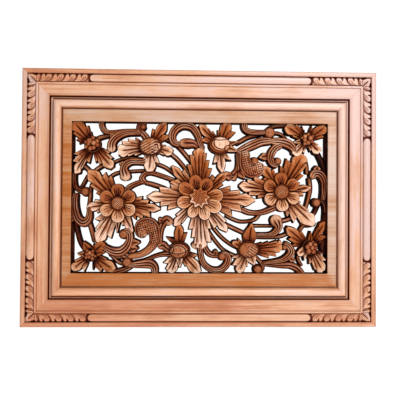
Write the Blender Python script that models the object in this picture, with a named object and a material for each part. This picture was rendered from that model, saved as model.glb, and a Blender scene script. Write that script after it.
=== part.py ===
"""Carved wall panel: a pierced floral board held in a mitred, moulded wooden frame.

Run with blender --background --python part.py. Metres, +Z up, the front faces -Y and the
flat back lies on y = 0. The origin is on the back of the top rail, where the panel hangs.

The design is drawn in millimetres in the plane of the panel: x to the right and z up from
the centre of the frame, and depth measured forward from the back.
"""

import math

import bmesh
import bpy
from mathutils import Vector

# ---------------------------------------------------------------- driving dimensions, in mm
PANEL_WIDTH = 700
PANEL_HEIGHT = 506
HANGING_DROP = 27            # the mount is this far below the top edge
JOINT_GAP = 0.3              # between two pieces that meet

# outer frame: (distance in from the outer edge, depth)
OUTER_CREST = 35.8
OUTER_PROFILE = [
    (0, 0), (0, 31.5), (0.6, 33.2), (2.4, 34),                    # back and rounded arris
    (9.2, 34), (10.2, 30.6), (11, 30.6),                          # fillet and quirk
    (11.7, 33.2), (14.3, 35.1), (18.5, OUTER_CREST), (22.7, 35.1), (25.3, 33.2),     # bead
    (26, 31), (26.8, 31), (27.6, 34), (31, 34),                   # quirk, thin fillet
    (31.7, 32.4), (32.7, 33.4),                                   # fine groove
    (38.5, 32.5), (48, 32.5), (53.8, 33.3),                       # very shallow cove
    (53.8, 24), (55.1, 24), (55.1, 0),                            # shadow gap, inner edge
]

# inner moulding: same measures, standing on the board's edge
MOULDING_BACK = 18.3
MOULDING_PROFILE = [
    (55.4, MOULDING_BACK), (55.4, 27.4), (56.2, 28), (58.6, 28),  # small step
    (59.4, 25.8), (60.2, 28.4),                                   # quirk
    (61, 32), (63, 35.4), (65.8, 37.5), (68.8, 38.2),             # half round
    (71.8, 37.5), (74.4, 35.2), (76, 32), (76.6, 28.4),
    (77.1, 25), (78.6, 25), (78.6, MOULDING_BACK),
]

# carved board
BOARD_BACK = 1.0
TONGUE_DEPTH = 18            # the edge of the board, under the inner moulding
BORDER_DEPTH = 30            # front of the plain border
BOARD_EDGE = 55.4            # distance of the board's edge in from the frame's edge
BORDER_START = 78.9          # where the border shows, inside the moulding
OPENING_WIDTH = 506.6
OPENING_HEIGHT = 298
OPENING_LIFT = 1             # the opening's centre above the frame's centre
DRAWN_WIDTH = 510            # width of the opening the carving is drawn for, set to fit
EDGE_EASING = 0.8            # small chamfer on the border's edges
LEDGE_DEPTH = 9              # low ledge left by the saw inside the opening
LEDGE_SIDE = 3.7
LEDGE_ENDS = 0.5

# levels of the carving, as depths of the top surface
STEM_TOP = 13
SCROLL_TOP = {"low": STEM_TOP, "middle": 19, "high": 24, "bud": 25}
SCROLL_CROWN = {"low": 0, "middle": 2, "high": 2.5, "bud": 5}
LEAF_TOP = 23
LEAF_VALLEY = 3.5            # depth of the valley along a leaf's midrib
LEAF_ROOT_DROP = 3           # leaves sink under their flower
PETAL_TOP = 29
BALL_TOP = 25
BOSS_TOP = 31
BUD_OVAL = (1.06, 0.82)      # width and height of a bud, for a radius of one

# carved leaf band on the bead, at both ends of every outer rail
BAND_LEAVES = 4
BAND_START = 36              # first cut between two leaves, from the frame's corner
BAND_PITCH = 23.2            # one leaf
NOTCH_DEPTH = 31             # bottom of the cuts between the leaves
NOTCH_OUTER = 10.6           # a cut runs from here to here, in from the frame's edge,
NOTCH_INNER = 24.5
NOTCH_SLANT = 7              # and this much closer to the corner at its inner end

# flowers: centre x, z, radius of the heart, kind
FLOWERS = {
    "top_left": (-216, 107, 15.5, "knob"),
    "top_left_bud": (-100, 103, 21, "bud"),
    "top_rose": (38, 107, 20, "bud"),
    "top_right": (215, 120, 14, "knob"),
    "main": (-2, 1, 14.5, "main"),
    "left": (-164, -11, 13, "daisy"),
    "right": (163, 14, 14.5, "daisy"),
    "low_left": (-218, -113, 13, "knob"),
    "low_left_bud": (-41, -104, 19, "bud"),
    "low_right_bud": (97, -102, 19, "bud"),
    "low_right": (222, -97, 14, "knob"),
}
# petals: how many, radius of their ring, length and width of one, direction of the first
PETALS = {
    "main": (8, 33, 25, 24, 30),
    "left": (6, 25.5, 24, 23, 31),
    "right": (6, 26, 24, 23, 33),
}

# leaves of each flower: length from the flower's centre, direction in degrees, half width of
# the end lobe, and the side lobes as (distance along, distance to the left) of their tips
LEAVES = {
    "top_left": [
        (56, 130, 13, ((20, -16), (32, -15), (26, 18), (40, 15))),
        (68, -120, 8, ((34, 13), (52, 7), (35, -21))),
        (61, -50, 9.5, ((34, 16), (46, 13), (31, -17), (40, -14))),
    ],
    "top_left_bud": [
        (64, -171, 12, ((37, -18), (33, 13), (46, 12))),
        (56, 59, 9.5, ((32, 15), (38, -22))),
        (42, -21, 6, ()),
        (50, -92, 11, ((25, -13), (32, 18))),
    ],
    "top_rose": [
        (57, 135, 10, ((28, -12), (38, -8), (34, 20))),
        (49, 70, 8.5, ((27, 13), (34, -18))),
        (39, 11, 5, ()),
        (41, -17, 6.5, ()),
        (55, -84, 8, ((31, -15), (31, 17))),
    ],
    "top_right": [
        (51, 148, 11, ((19, -15), (34, -15), (28, 9))),
        (46, 35, 10, ((21, 16), (31, -14))),
        (28, -167, 4.5, ()),
        (40, -130, 8.5, ((24, 11),)),
        (35, -45, 7.5, ((22, 7),)),
    ],
    "main": [
        (98, 92, 10.5, ((66, 22), (85, 17), (60, -25), (75, -17))),
        (109, -2, 12.5, ((55, 25), (79, 19), (62, -31), (83, -22))),
        (77, 43, 7.5, ()),
        (104, 179, 12.5, ((79, -21), (61, 26), (76, 19))),
        (85, 131, 7.5, ((61, 23), (61, -14))),
        (75, -132, 8, ((55, -12), (59, 8))),
        (102, -87, 11.5, ((57, -24), (77, -20), (61, 20), (88, 19))),
        (88, -50, 7.5, ((69, 12), (65, -15))),
    ],
    "left": [
        (88, 132, 13, ((49, -29), (59, -22), (43, 18), (62, 17))),
        (59, -173, 6, ((46, -9),)),
        (85, -7, 9, ((45, 19), (59, 14), (66, -14))),
        (87, -118, 12, ((48, -22), (64, -17), (66, 20))),
        (54, -91, 4, ()),
        (61, -62, 6.5, ()),
    ],
    "right": [
        (86, 172, 13, ((61, -20), (44, 18), (63, 16))),
        (63, 126, 7, ((46, -14),)),
        (88, 60, 14, ((44, 27), (63, 24), (51, -19), (73, -16))),
        (61, 9, 6, ((40, 11), (43, -13))),
        (89, -45, 12.5, ((41, 14), (64, 14), (56, -21))),
    ],
    "low_left": [
        (36, 41, 8.5, ((17, 10),)),
        (30, 12, 5, ()),
        (26, 139, 5, ()),
        (46, -139, 9, ((31, -10), (26, 12))),
        (55, -33, 10.5, ((31, 10), (28, -17))),
    ],
    "low_left_bud": [
        (51, 92, 8.5, ((27, 20), (32, -16))),
        (47, -110, 8.5, ((34, -17), (28, 10))),
        (57, -48, 10.5, ((31, 20), (31, -10))),
    ],
    "low_right_bud": [
        (53, 83, 13, ()),
        (35, 157, 6, ((26, -11),)),
        (49, -112, 9, ((27, -24), (31, 11))),
        (68, 6, 11.5, ((28, 13), (41, 13), (60, 13), (39, -18), (54, -16))),
    ],
    "low_right": [
        (62, 140, 11.5, ((30, 22), (43, 15), (35, -14))),
        (31, 88, 4, ()),
        (60, 60, 8.5, ((44, 7), (22, -17), (35, -17))),
        (54, -62, 10.5, ((23, 17), (37, 16), (44, -12))),
        (29, -152, 7, ((27, 12),)),
    ],
}

# scrolls and stems: level, route, widths at the route's points
SCROLLS = [
    ("high", [(-198, 155), (-197, 143), (-190, 134), (-177, 132), (-153, 135), (-125, 136)],
     [9, 9, 8, 6.5, 5.5, 5]),
    ("high", [(-121, 129), (-147, 129), (-166, 123), (-175, 111), (-175, 96)],
     [8, 10, 11.5, 11, 13.5]),
    ("middle", [(-108, 112), (-120, 132), (-123, 143), (-117, 150), (-109, 148)], [8, 8, 8, 7, 6]),
    ("high", [(-109, 73), (-135, 74), (-147, 67), (-151, 57), (-151, 44)], [10, 11, 13, 15, 19]),
    ("middle", [(-52, 34), (-79, 44), (-99, 50), (-111, 48), (-116, 39), (-112, 31)],
     [6.5, 6.5, 7, 8, 9, 10]),
    ("middle", [(-155, 4), (-144, 20), (-131, 28), (-114, 34)], [8, 8.5, 7.5, 6.5]),
    ("high", [(-41, 107), (-51, 112), (-54, 125), (-48, 137), (-34, 143), (-19, 137), (-10, 123),
              (-4, 98)], [8, 11, 12.5, 12.5, 12.5, 10.5, 8.5, 7]),
    ("middle", [(-4, 101), (-14, 111), (-26, 112), (-35, 106)], [6, 8.5, 9.5, 9]),
    ("high", [(87, 157), (85, 145), (91, 137), (107, 134), (131, 134)], [12, 11, 9.5, 9, 8]),
    ("middle", [(136, 140), (142, 145), (154, 148), (173, 149)], [6, 5.5, 5, 5]),
    ("high", [(73, 92), (91, 98), (105, 108), (123, 116), (145, 117)], [6, 10.5, 12, 11, 9]),
    ("high", [(141, 116), (157, 116), (172, 113), (183, 107), (191, 95)], [10, 12.5, 15, 14, 7]),
    ("high", [(165, 109), (150, 103), (140, 92), (137, 81), (142, 71), (153, 68)],
     [10, 13, 13.5, 12.5, 10, 7.5]),
    ("bud", [(89, 98), (88, 80), (92, 66), (102, 58), (113, 62), (118, 72)],
     [18, 20, 24, 26, 24, 16]),
    ("middle", [(73, 92), (73, 72), (73, 56), (68, 43)], [5, 6.5, 10.5, 17]),
    ("high", [(223, 41), (227, 51), (240, 49), (247, 36), (247, 19), (244, -3)],
     [12, 14, 14.5, 14, 10.5, 7]),
    ("middle", [(234, -4), (245, -3), (251, -12), (253, -28)], [6, 6.5, 6.5, 6.5]),
    ("high", [(153, -41), (156, -55), (151, -66), (138, -70), (112, -69)], [18.5, 13, 10.5, 7, 5]),
    ("middle", [(161, -12), (143, -21), (128, -28), (114, -32)], [11, 10.5, 9, 6.5]),
    ("high", [(170, -93), (178, -96), (182, -106), (174, -116), (158, -123), (124, -127)],
     [7, 10.5, 12.5, 11, 7.5, 5]),
    ("middle", [(122, -129), (163, -130), (181, -130), (196, -137), (208, -153)],
     [5, 10, 12, 12, 12]),
    ("middle", [(111, -115), (124, -129), (127, -140), (119, -150)], [5, 5.5, 5.5, 6]),
    ("middle", [(214, -105), (199, -114), (200, -124), (207, -135)], [4, 3.5, 3.5, 3]),
    ("high", [(0, -90), (3, -115), (10, -131), (24, -141), (38, -143), (50, -135), (56, -123),
              (53, -112), (44, -110)], [9, 10.5, 11.5, 12.5, 13.5, 14.5, 13, 10, 7]),
    ("middle", [(6, -92), (15, -111), (25, -116), (36, -116)], [8, 9, 8.5, 8]),
    ("middle", [(2, -90), (-6, -91), (-12, -96)], [10, 11, 12.5]),
    ("bud", [(-117, -70), (-110, -58), (-98, -57), (-91, -70), (-93, -86), (-104, -100),
             (-121, -109), (-143, -113)], [21, 24, 24, 21.5, 16.5, 12.5, 10.5, 9]),
    ("middle", [(-78, -93), (-77, -70), (-74, -54), (-65, -43), (-55, -46)], [9, 9.5, 12, 14, 8]),
    ("middle", [(-81, -96), (-72, -91), (-67, -98), (-54, -104)], [10, 10, 10, 10]),
    ("middle", [(-54, -111), (-69, -109), (-88, -112), (-110, -122), (-134, -127)],
     [10, 8, 5.5, 5.5, 6]),
    ("high", [(-145, -133), (-125, -131), (-107, -130), (-94, -133), (-88, -139), (-89, -152)],
     [6, 9, 15, 16.5, 14.5, 11]),
    ("high", [(-151, -72), (-144, -67), (-138, -74), (-139, -86), (-147, -98), (-160, -105),
              (-175, -102), (-192, -93)], [8.5, 12, 12.5, 14, 18, 18.5, 15, 8.5]),
    ("middle", [(-158, -106), (-148, -113), (-136, -115)], [14, 11, 8]),
    ("middle", [(-140, -126), (-138, -136), (-150, -143), (-175, -150)], [8, 8.5, 8.5, 9]),
    ("high", [(-248, 10), (-251, -9), (-249, -27), (-242, -41), (-231, -47), (-221, -38),
              (-221, -17)], [9, 13, 14.5, 15, 16.5, 12, 6.5]),
    ("middle", [(-250, 51), (-250, 31), (-244, 18), (-230, 12)], [8, 8, 8.5, 8]),
    ("low", [(-204, 110), (-188, 120), (-170, 125)], [5, 5, 5]),
    ("low", [(-190, 66), (-162, 80), (-140, 83), (-114, 79)], [4.5, 4.5, 4.5, 4.5]),
    ("low", [(-157, 50), (-171, 45), (-185, 33)], [5, 5, 5]),
    ("low", [(-149, 55), (-127, 57), (-111, 57), (-93, 50)], [4, 4, 4.5, 5]),
    ("low", [(-113, 32), (-93, 27), (-67, 18)], [6, 7, 7]),
    ("low", [(-76, 120), (-50, 105), (-13, 63)], [6, 6.5, 6.5]),
    ("low", [(-66, 97), (-45, 82), (-20, 53)], [6, 6.5, 6.5]),
    ("low", [(-93, 70), (-69, 60), (-44, 40)], [6, 6.5, 6.5]),
    ("low", [(68, 107), (84, 117), (100, 123), (138, 134)], [5, 5, 5, 5]),
    ("low", [(141, 133), (157, 139), (169, 134), (181, 118)], [5.5, 6, 6, 5.5]),
    ("low", [(215, 87), (221, 69), (222, 50)], [6, 6, 6]),
    ("low", [(224, 45), (224, 17), (211, -20)], [6, 6, 6]),
    ("low", [(227, 101), (238, 86), (248, 62), (253, 34)], [9, 9, 9, 8]),
    ("low", [(240, -7), (228, -31), (207, -54), (199, -68)], [7, 7, 6.5, 6]),
    ("low", [(253, 3), (253, -30), (249, -64)], [10, 12, 10.5]),
    ("low", [(107, -77), (144, -77), (168, -72), (187, -63)], [5, 5, 5.5, 5.5]),
    ("low", [(154, -48), (176, -42), (199, -32)], [5.5, 5, 5]),
    ("low", [(100, -53), (125, -53), (156, -53)], [5, 4.5, 4.5]),
    ("low", [(50, -32), (77, -44), (97, -46), (113, -42), (121, -28)], [6, 6, 6, 6, 6]),
    ("low", [(50, -48), (72, -58), (91, -67)], [6, 6, 6]),
    ("low", [(9, -56), (26, -82), (48, -103), (76, -114)], [6.5, 6.5, 6.5, 6.5]),
    ("low", [(24, -53), (44, -76), (65, -92), (86, -101)], [7, 7, 7.5, 7]),
    ("low", [(-184, -110), (-174, -123), (-164, -132), (-146, -135)], [6.5, 6.5, 6.5, 6.5]),
    ("low", [(-248, -46), (-242, -73), (-235, -92), (-222, -109)], [8, 8, 8.5, 8.5]),
    ("low", [(-226, -43), (-218, -63), (-205, -87)], [8, 8, 8]),
    ("low", [(-256, -45), (-255, -93), (-254, -131)], [7.5, 7, 7]),
    ("low", [(-215, 24), (-222, -1), (-225, -25)], [6, 6, 6]),
    ("low", [(-239, 13), (-222, 45)], [6, 6]),
    ("low", [(-221, 45), (-205, 59), (-186, 70)], [6.5, 6.5, 6.5]),
    ("low", [(-240, 68), (-224, 50)], [8, 8]),
]

# pointed lobes that spring from a scroll: root, tip, width at the root
LOBES = [
    ((-170, 116), (-179, 122), 10), ((-148, 66), (-161, 69), 10), ((139, 90), (123, 95), 12),
    ((71, 46), (56, 47), 12), ((241, 50), (240, 63), 10), ((31, -114), (32, -105), 8),
    ((-73, -52), (-81, -40), 10), ((-140, -93), (-123, -92), 13), ((-247, -30), (-257, -48), 11),
]

# balls at the ends of the scrolls: centre and radius
BALLS = [
    (-108, 142, 5), (139, 133, 9.5), (154, 76, 6), (108, 75, 6), (232, -7, 7), (170, -97, 4.5),
    (116, -142, 7.5), (44, -116, 6.5), (-113, -67, 5.5), (-154, -73, 5.5), (-145, -128, 8),
    (-229, 12, 7),
]


# ---------------------------------------------------------------- helpers
def place(x, z, depth):
    """A point of the design, in millimetres, as a world position in metres."""
    drop = PANEL_HEIGHT / 2 - HANGING_DROP
    return Vector((x, -depth, z - drop)) * 0.001


def new_object(name, mesh_data):
    """Make an object from (points, faces), with every face turned outwards."""
    points, faces = mesh_data
    mesh = bpy.data.meshes.new(name)
    mesh.from_pydata([place(*p) for p in points], [], faces)
    sculpt = bmesh.new()
    sculpt.from_mesh(mesh)
    bmesh.ops.recalc_face_normals(sculpt, faces=sculpt.faces)
    bmesh.ops.triangulate(sculpt, faces=sculpt.faces)
    sculpt.to_mesh(mesh)
    sculpt.free()
    obj = bpy.data.objects.new(name, mesh)
    bpy.context.scene.collection.objects.link(obj)
    return obj


def finish(obj, colour, roughness):
    """Give a piece its own plain wood finish."""
    material = bpy.data.materials.new(obj.name + "_wood")
    material.use_nodes = True
    shader = material.node_tree.nodes["Principled BSDF"]
    shader.inputs["Base Color"].default_value = (*colour, 1)
    shader.inputs["Roughness"].default_value = roughness
    shader.inputs["Metallic"].default_value = 0
    obj.data.materials.clear()
    obj.data.materials.append(material)


def strip(rows):
    """Closed solid between rows of equal length that each run once round a section."""
    count = len(rows[0])
    points = [p for row in rows for p in row]
    faces = []
    for r in range(len(rows) - 1):
        for i in range(count):
            j = (i + 1) % count
            a, b = r * count, (r + 1) * count
            faces.append((a + i, a + j, b + j, b + i))
    faces.append(tuple(range(count)))
    faces.append(tuple(range(len(points) - count, len(points))))
    return points, faces


def smooth_route(route, widths, spacing):
    """Points, directions and widths along a smooth curve through the route."""
    ends = [tuple(2 * route[0][k] - route[1][k] for k in (0, 1))]
    tail = [tuple(2 * route[-1][k] - route[-2][k] for k in (0, 1))]
    knots = ends + list(route) + tail
    samples = []
    for i in range(1, len(knots) - 2):
        a, b, c, d = knots[i - 1:i + 3]
        steps = max(1, round(math.dist(b, c) / spacing))
        for s in range(steps):
            samples.append((spline_point(a, b, c, d, s / steps), i - 1 + s / steps))
    samples.append((route[-1], len(route) - 1))
    found = []
    for i, (point, place_on_route) in enumerate(samples):
        before = samples[max(i - 1, 0)][0]
        after = samples[min(i + 1, len(samples) - 1)][0]
        length = math.dist(before, after)
        along = ((after[0] - before[0]) / length, (after[1] - before[1]) / length)
        k = min(int(place_on_route), len(widths) - 2)
        share = place_on_route - k
        found.append((point, along, widths[k] * (1 - share) + widths[k + 1] * share))
    return found


def spline_point(a, b, c, d, t):
    """Catmull-Rom curve from b to c."""
    return tuple(
        0.5 * (2 * b[k] + (c[k] - a[k]) * t + (2 * a[k] - 5 * b[k] + 4 * c[k] - d[k]) * t ** 2
               + (3 * b[k] - a[k] - 3 * c[k] + d[k]) * t ** 3)
        for k in (0, 1)
    )


# ---------------------------------------------------------------- frame
SIDES = {
    "top": (PANEL_WIDTH, lambda along, inward: (along, PANEL_HEIGHT / 2 - inward)),
    "bottom": (PANEL_WIDTH, lambda along, inward: (-along, inward - PANEL_HEIGHT / 2)),
    "left": (PANEL_HEIGHT, lambda along, inward: (inward - PANEL_WIDTH / 2, along)),
    "right": (PANEL_HEIGHT, lambda along, inward: (PANEL_WIDTH / 2 - inward, -along)),
}


def mitred_length(side, profile):
    """One length of moulding with both ends cut at 45 degrees."""
    length, to_panel = SIDES[side]
    rows = []
    for end in (-1, 1):
        row = []
        for inward, depth in profile:
            along = end * (length / 2 - inward - JOINT_GAP / 2)
            row.append((*to_panel(along, inward), depth))
        rows.append(row)
    return strip(rows)


def band_notches(side):
    """Wedge cutters for the leaf bands: each cut slants over the bead towards the corner."""
    length, to_panel = SIDES[side]
    cutters = []
    for end in (-1, 1):
        for leaf_count in range(BAND_LEAVES + 1):
            middle = length / 2 - BAND_START - leaf_count * BAND_PITCH
            rows = []
            for depth, half_width in ((NOTCH_DEPTH, 1), (OUTER_CREST + 3, 4.5)):
                outline = [(middle + half_width, NOTCH_OUTER), (middle - half_width, NOTCH_OUTER),
                           (middle + half_width + NOTCH_SLANT, NOTCH_INNER)]
                rows.append([(*to_panel(end * along, inward), depth) for along, inward in outline])
            cutters.append(strip(rows))
    return cutters


def outer_rail(side):
    """An outer rail, with its carved leaf bands cut into the bead."""
    rail = new_object("outer_rail_" + side, mitred_length(side, OUTER_PROFILE))
    combine(rail, joined("band_cutter_" + side, band_notches(side)), "DIFFERENCE")
    finish(rail, (0.72, 0.42, 0.25), 0.45)


def inner_moulding(side):
    """A length of the half-round moulding round the opening."""
    moulding = new_object("inner_moulding_" + side, mitred_length(side, MOULDING_PROFILE))
    finish(moulding, (0.70, 0.38, 0.22), 0.4)


def joined(name, parts):
    """Several closed shapes in one object."""
    points, faces = [], []
    for part_points, part_faces in parts:
        start = len(points)
        points.extend(part_points)
        faces.extend(tuple(start + i for i in face) for face in part_faces)
    return new_object(name, (points, faces))


def combine(target, tool, operation):
    """Cut the tool's shapes, which may overlap, from the target or join them to it."""
    modifier = target.modifiers.new(operation.lower(), "BOOLEAN")
    modifier.object = tool
    modifier.operation = operation
    modifier.use_self = True
    scene = bpy.context.evaluated_depsgraph_get()
    target.data = bpy.data.meshes.new_from_object(target.evaluated_get(scene))
    target.modifiers.clear()
    bpy.data.objects.remove(tool, do_unlink=True)
    # merge the slivers and the flat neighbours that this leaves behind
    sculpt = bmesh.new()
    sculpt.from_mesh(target.data)
    bmesh.ops.dissolve_degenerate(sculpt, dist=0.00005, edges=sculpt.edges)
    bmesh.ops.dissolve_limit(sculpt, angle_limit=math.radians(2.5), verts=sculpt.verts,
                             edges=sculpt.edges)
    sculpt.to_mesh(target.data)
    sculpt.free()


# ---------------------------------------------------------------- carved board
def border_ring():
    """The plain border with its tongue, as a section carried round the four corners."""
    section = [
        ("edge", BOARD_EDGE, BOARD_EDGE, BOARD_BACK),
        ("edge", BOARD_EDGE, BOARD_EDGE, TONGUE_DEPTH),
        ("edge", BORDER_START, BORDER_START, TONGUE_DEPTH),
        ("edge", BORDER_START, BORDER_START, BORDER_DEPTH - EDGE_EASING),
        ("edge", BORDER_START + EDGE_EASING, BORDER_START + EDGE_EASING, BORDER_DEPTH),
        ("opening", EDGE_EASING, EDGE_EASING, BORDER_DEPTH),
        ("opening", 0, 0, BORDER_DEPTH - EDGE_EASING),
        ("opening", 0, 0, LEDGE_DEPTH),
        ("opening", -LEDGE_SIDE, -LEDGE_ENDS, LEDGE_DEPTH),
        ("opening", -LEDGE_SIDE, -LEDGE_ENDS, BOARD_BACK),
    ]
    points, faces = [], []
    for sx, sz in ((-1, 1), (1, 1), (1, -1), (-1, -1)):
        for start, inset_x, inset_z, depth in section:
            if start == "edge":
                x, z = PANEL_WIDTH / 2 - inset_x, sz * (PANEL_HEIGHT / 2 - inset_z)
            else:
                x, z = OPENING_WIDTH / 2 + inset_x, sz * (OPENING_HEIGHT / 2 + inset_z) + OPENING_LIFT
            points.append((sx * x, z, depth))
    count = len(section)
    for corner in range(4):
        a, b = corner * count, (corner + 1) % 4 * count
        for i in range(count):
            j = (i + 1) % count
            faces.append((a + i, a + j, b + j, b + i))
    return points, faces


def leaf_edge(length, half_width, lobes, side):
    """One edge of a leaf from its root towards its tip, as (along, across)."""
    mine = [(along, abs(across)) for along, across in lobes if across * side > 0]
    edge = [(length * 0.1, side * half_width * 0.4)]
    for i, (along, across) in enumerate(mine):
        ahead = mine[i + 1][1] if i + 1 < len(mine) else half_width
        edge.append((along, side * across))
        edge.append((along + 0.02 * length, side * 0.62 * min(across, ahead * 1.25)))
    start = edge[-1][0]
    edge.append((start + (length - start) * 0.38, side * half_width))
    return edge


def leaf(centre, length, degrees, half_width, lobes):
    """A leaf: lobed outline, walls down to the back, and a valley along the midrib."""
    direction = math.radians(degrees)
    forward = (math.cos(direction), math.sin(direction))

    def at(along, across, depth):
        x = centre[0] + along * forward[0] - across * forward[1]
        z = centre[1] + along * forward[1] + across * forward[0]
        return (x, z, depth)

    left = leaf_edge(length, half_width, lobes, 1)
    right = leaf_edge(length, half_width, lobes, -1)
    outline = left + [(length, 0)] + right[::-1]
    points = [at(a, c, LEAF_TOP - LEAF_ROOT_DROP * (1 - a / length)) for a, c in outline]
    points += [at(a, c, BOARD_BACK) for a, c in outline]
    points.append(at(length * 0.1, 0, LEAF_TOP - LEAF_ROOT_DROP - LEAF_VALLEY))
    points.append(at(length * 0.6, 0, LEAF_TOP - LEAF_VALLEY))
    count, tip = len(outline), len(left)
    root, rib = 2 * count, 2 * count + 1
    faces = [(*range(tip + 1), rib, root), (*range(tip, count), root, rib)]
    faces += [(i, i + 1, count + i + 1, count + i) for i in range(count - 1)]
    faces.append((count - 1, root, 0, count, 2 * count - 1))
    faces.append(tuple(range(count, 2 * count)))
    return points, faces


def scroll(level, route, widths):
    """A scroll or stem swept along its route, crowned across, with walls down to the back."""
    top, crown = SCROLL_TOP[level], SCROLL_CROWN[level]
    spacing = 40 if level == "low" else 20
    rows = []
    for (x, z), (dx, dz), width in smooth_route(route, widths, spacing):
        half = width / 2
        left = (x - dz * half, z + dx * half)
        right = (x + dz * half, z - dx * half)
        row = [(*left, BOARD_BACK), (*left, top - crown)]
        if crown:
            row.append((x, z, top))
        row += [(*right, top - crown), (*right, BOARD_BACK)]
        rows.append(row)
    return strip(rows)


def lobe(root, tip, width):
    """A pointed lobe that springs from a scroll."""
    length = math.dist(root, tip)
    dx, dz = (tip[0] - root[0]) / length, (tip[1] - root[1]) / length
    base = [(root[0] - dz * width / 2, root[1] + dx * width / 2), tip,
            (root[0] + dz * width / 2, root[1] - dx * width / 2)]
    top = SCROLL_TOP["high"] - 2
    return strip([[(*p, BOARD_BACK) for p in base], [(*p, top) for p in base]])


def round_post(x, z, radius, shoulder, top, sides, wide=1, high=1):
    """A round or oval post with a domed top, for flower hearts and the balls of the scrolls."""
    turn = [math.tau * (i + 0.4) / sides for i in range(sides)]
    rings = [(radius, BOARD_BACK), (radius, shoulder), (radius * 0.62, top)]
    rows = [[(x + r * wide * math.cos(t), z + r * high * math.sin(t), depth) for t in turn]
            for r, depth in rings]
    return strip(rows)


def petal(centre, ring, degrees, length, width):
    """One round petal, its rim higher than its middle."""
    direction = math.radians(degrees)
    forward = (math.cos(direction), math.sin(direction))
    middle = (centre[0] + ring * forward[0], centre[1] + ring * forward[1])
    shape = [(-0.8 * ring, -0.2 * width)]
    for step in range(5):
        turn = math.radians(-90 + 45 * step)
        shape.append((length / 2 * math.cos(turn), width / 2 * math.sin(turn)))
    shape.append((-0.8 * ring, 0.2 * width))
    outline = [(middle[0] + along * forward[0] - across * forward[1],
                middle[1] + along * forward[1] + across * forward[0]) for along, across in shape]
    count = len(outline)
    points = [(*p, BOARD_BACK) for p in outline] + [(*p, PETAL_TOP) for p in outline]
    points.append((*middle, PETAL_TOP - 3))
    faces = [(i, (i + 1) % count, count + (i + 1) % count, count + i) for i in range(count)]
    faces += [(count + i, count + (i + 1) % count, 2 * count) for i in range(count)]
    faces.append(tuple(range(count)))
    return points, faces


def flower(name):
    """The heart of a flower with its petals."""
    x, z, radius, kind = FLOWERS[name]
    sides = 8 if kind == "knob" else 10
    oval = BUD_OVAL if kind == "bud" else (1, 1)
    shoulder = BOSS_TOP - radius * 0.45
    parts = [round_post(x, z, radius, shoulder, BOSS_TOP, sides, *oval)]
    if name in PETALS:
        number, ring, length, width, first = PETALS[name]
        for i in range(number):
            turn = first + i * 360 / number
            parts.append(petal((x, z), ring, turn, length, width))
    return parts


def fitted(part):
    """A shape of the carving, drawn for a slightly wider opening, set to this one."""
    points, faces = part
    size = OPENING_WIDTH / DRAWN_WIDTH
    return [(x * size, z * size, depth) for x, z, depth in points], faces


def carved_board():
    """The border and everything carved in the opening, joined into one solid."""
    parts = []
    for name, (x, z, radius, kind) in FLOWERS.items():
        parts += flower(name)
        parts += [leaf((x, z), *each) for each in LEAVES[name]]
    parts += [scroll(*each) for each in SCROLLS]
    parts += [lobe(*each) for each in LOBES]
    for x, z, radius in BALLS:
        parts.append(round_post(x, z, radius, BALL_TOP, BALL_TOP, 6))
    board = new_object("carved_board", border_ring())
    combine(board, joined("carving", [fitted(part) for part in parts]), "UNION")
    finish(board, (0.42, 0.17, 0.07), 0.4)


for old in list(bpy.data.objects):
    bpy.data.objects.remove(old, do_unlink=True)

for each_side in SIDES:
    outer_rail(each_side)
    inner_moulding(each_side)
carved_board()
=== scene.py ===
"""Looks of the carved wall panel: a pierced floral board in a mitred, moulded wooden frame.

The design is drawn in millimetres on the face of the panel: x to the right and z up from the
middle of the frame, and depth measured forward from the wall. The panel hangs with its flat
back on y = 0, so its front faces -Y.
"""

import math

import bmesh
import bpy
import numpy as np
from mathutils import Matrix, Vector


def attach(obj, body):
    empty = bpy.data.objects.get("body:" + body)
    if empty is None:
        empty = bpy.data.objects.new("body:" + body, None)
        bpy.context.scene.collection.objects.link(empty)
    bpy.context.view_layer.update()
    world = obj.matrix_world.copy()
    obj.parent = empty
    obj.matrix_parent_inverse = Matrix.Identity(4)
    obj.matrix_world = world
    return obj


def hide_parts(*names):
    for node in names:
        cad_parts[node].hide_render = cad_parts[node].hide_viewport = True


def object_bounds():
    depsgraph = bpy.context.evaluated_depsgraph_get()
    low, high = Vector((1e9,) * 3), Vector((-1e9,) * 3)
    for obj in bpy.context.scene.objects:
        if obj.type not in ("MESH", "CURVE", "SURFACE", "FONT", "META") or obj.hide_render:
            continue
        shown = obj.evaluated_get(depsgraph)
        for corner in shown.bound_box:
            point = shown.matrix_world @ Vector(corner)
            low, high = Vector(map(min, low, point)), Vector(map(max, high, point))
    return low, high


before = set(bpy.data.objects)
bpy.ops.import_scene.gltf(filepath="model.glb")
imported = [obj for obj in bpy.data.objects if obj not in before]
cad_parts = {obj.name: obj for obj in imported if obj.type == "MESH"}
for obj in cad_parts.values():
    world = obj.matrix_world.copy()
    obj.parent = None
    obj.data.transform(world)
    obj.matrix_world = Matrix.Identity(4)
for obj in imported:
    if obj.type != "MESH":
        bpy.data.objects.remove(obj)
cad_low, cad_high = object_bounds()
WIDTH = (cad_high.x - cad_low.x) * 1000
HEIGHT = (cad_high.z - cad_low.z) * 1000
MIDDLE_Z = (cad_high.z + cad_low.z) / 2


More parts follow.
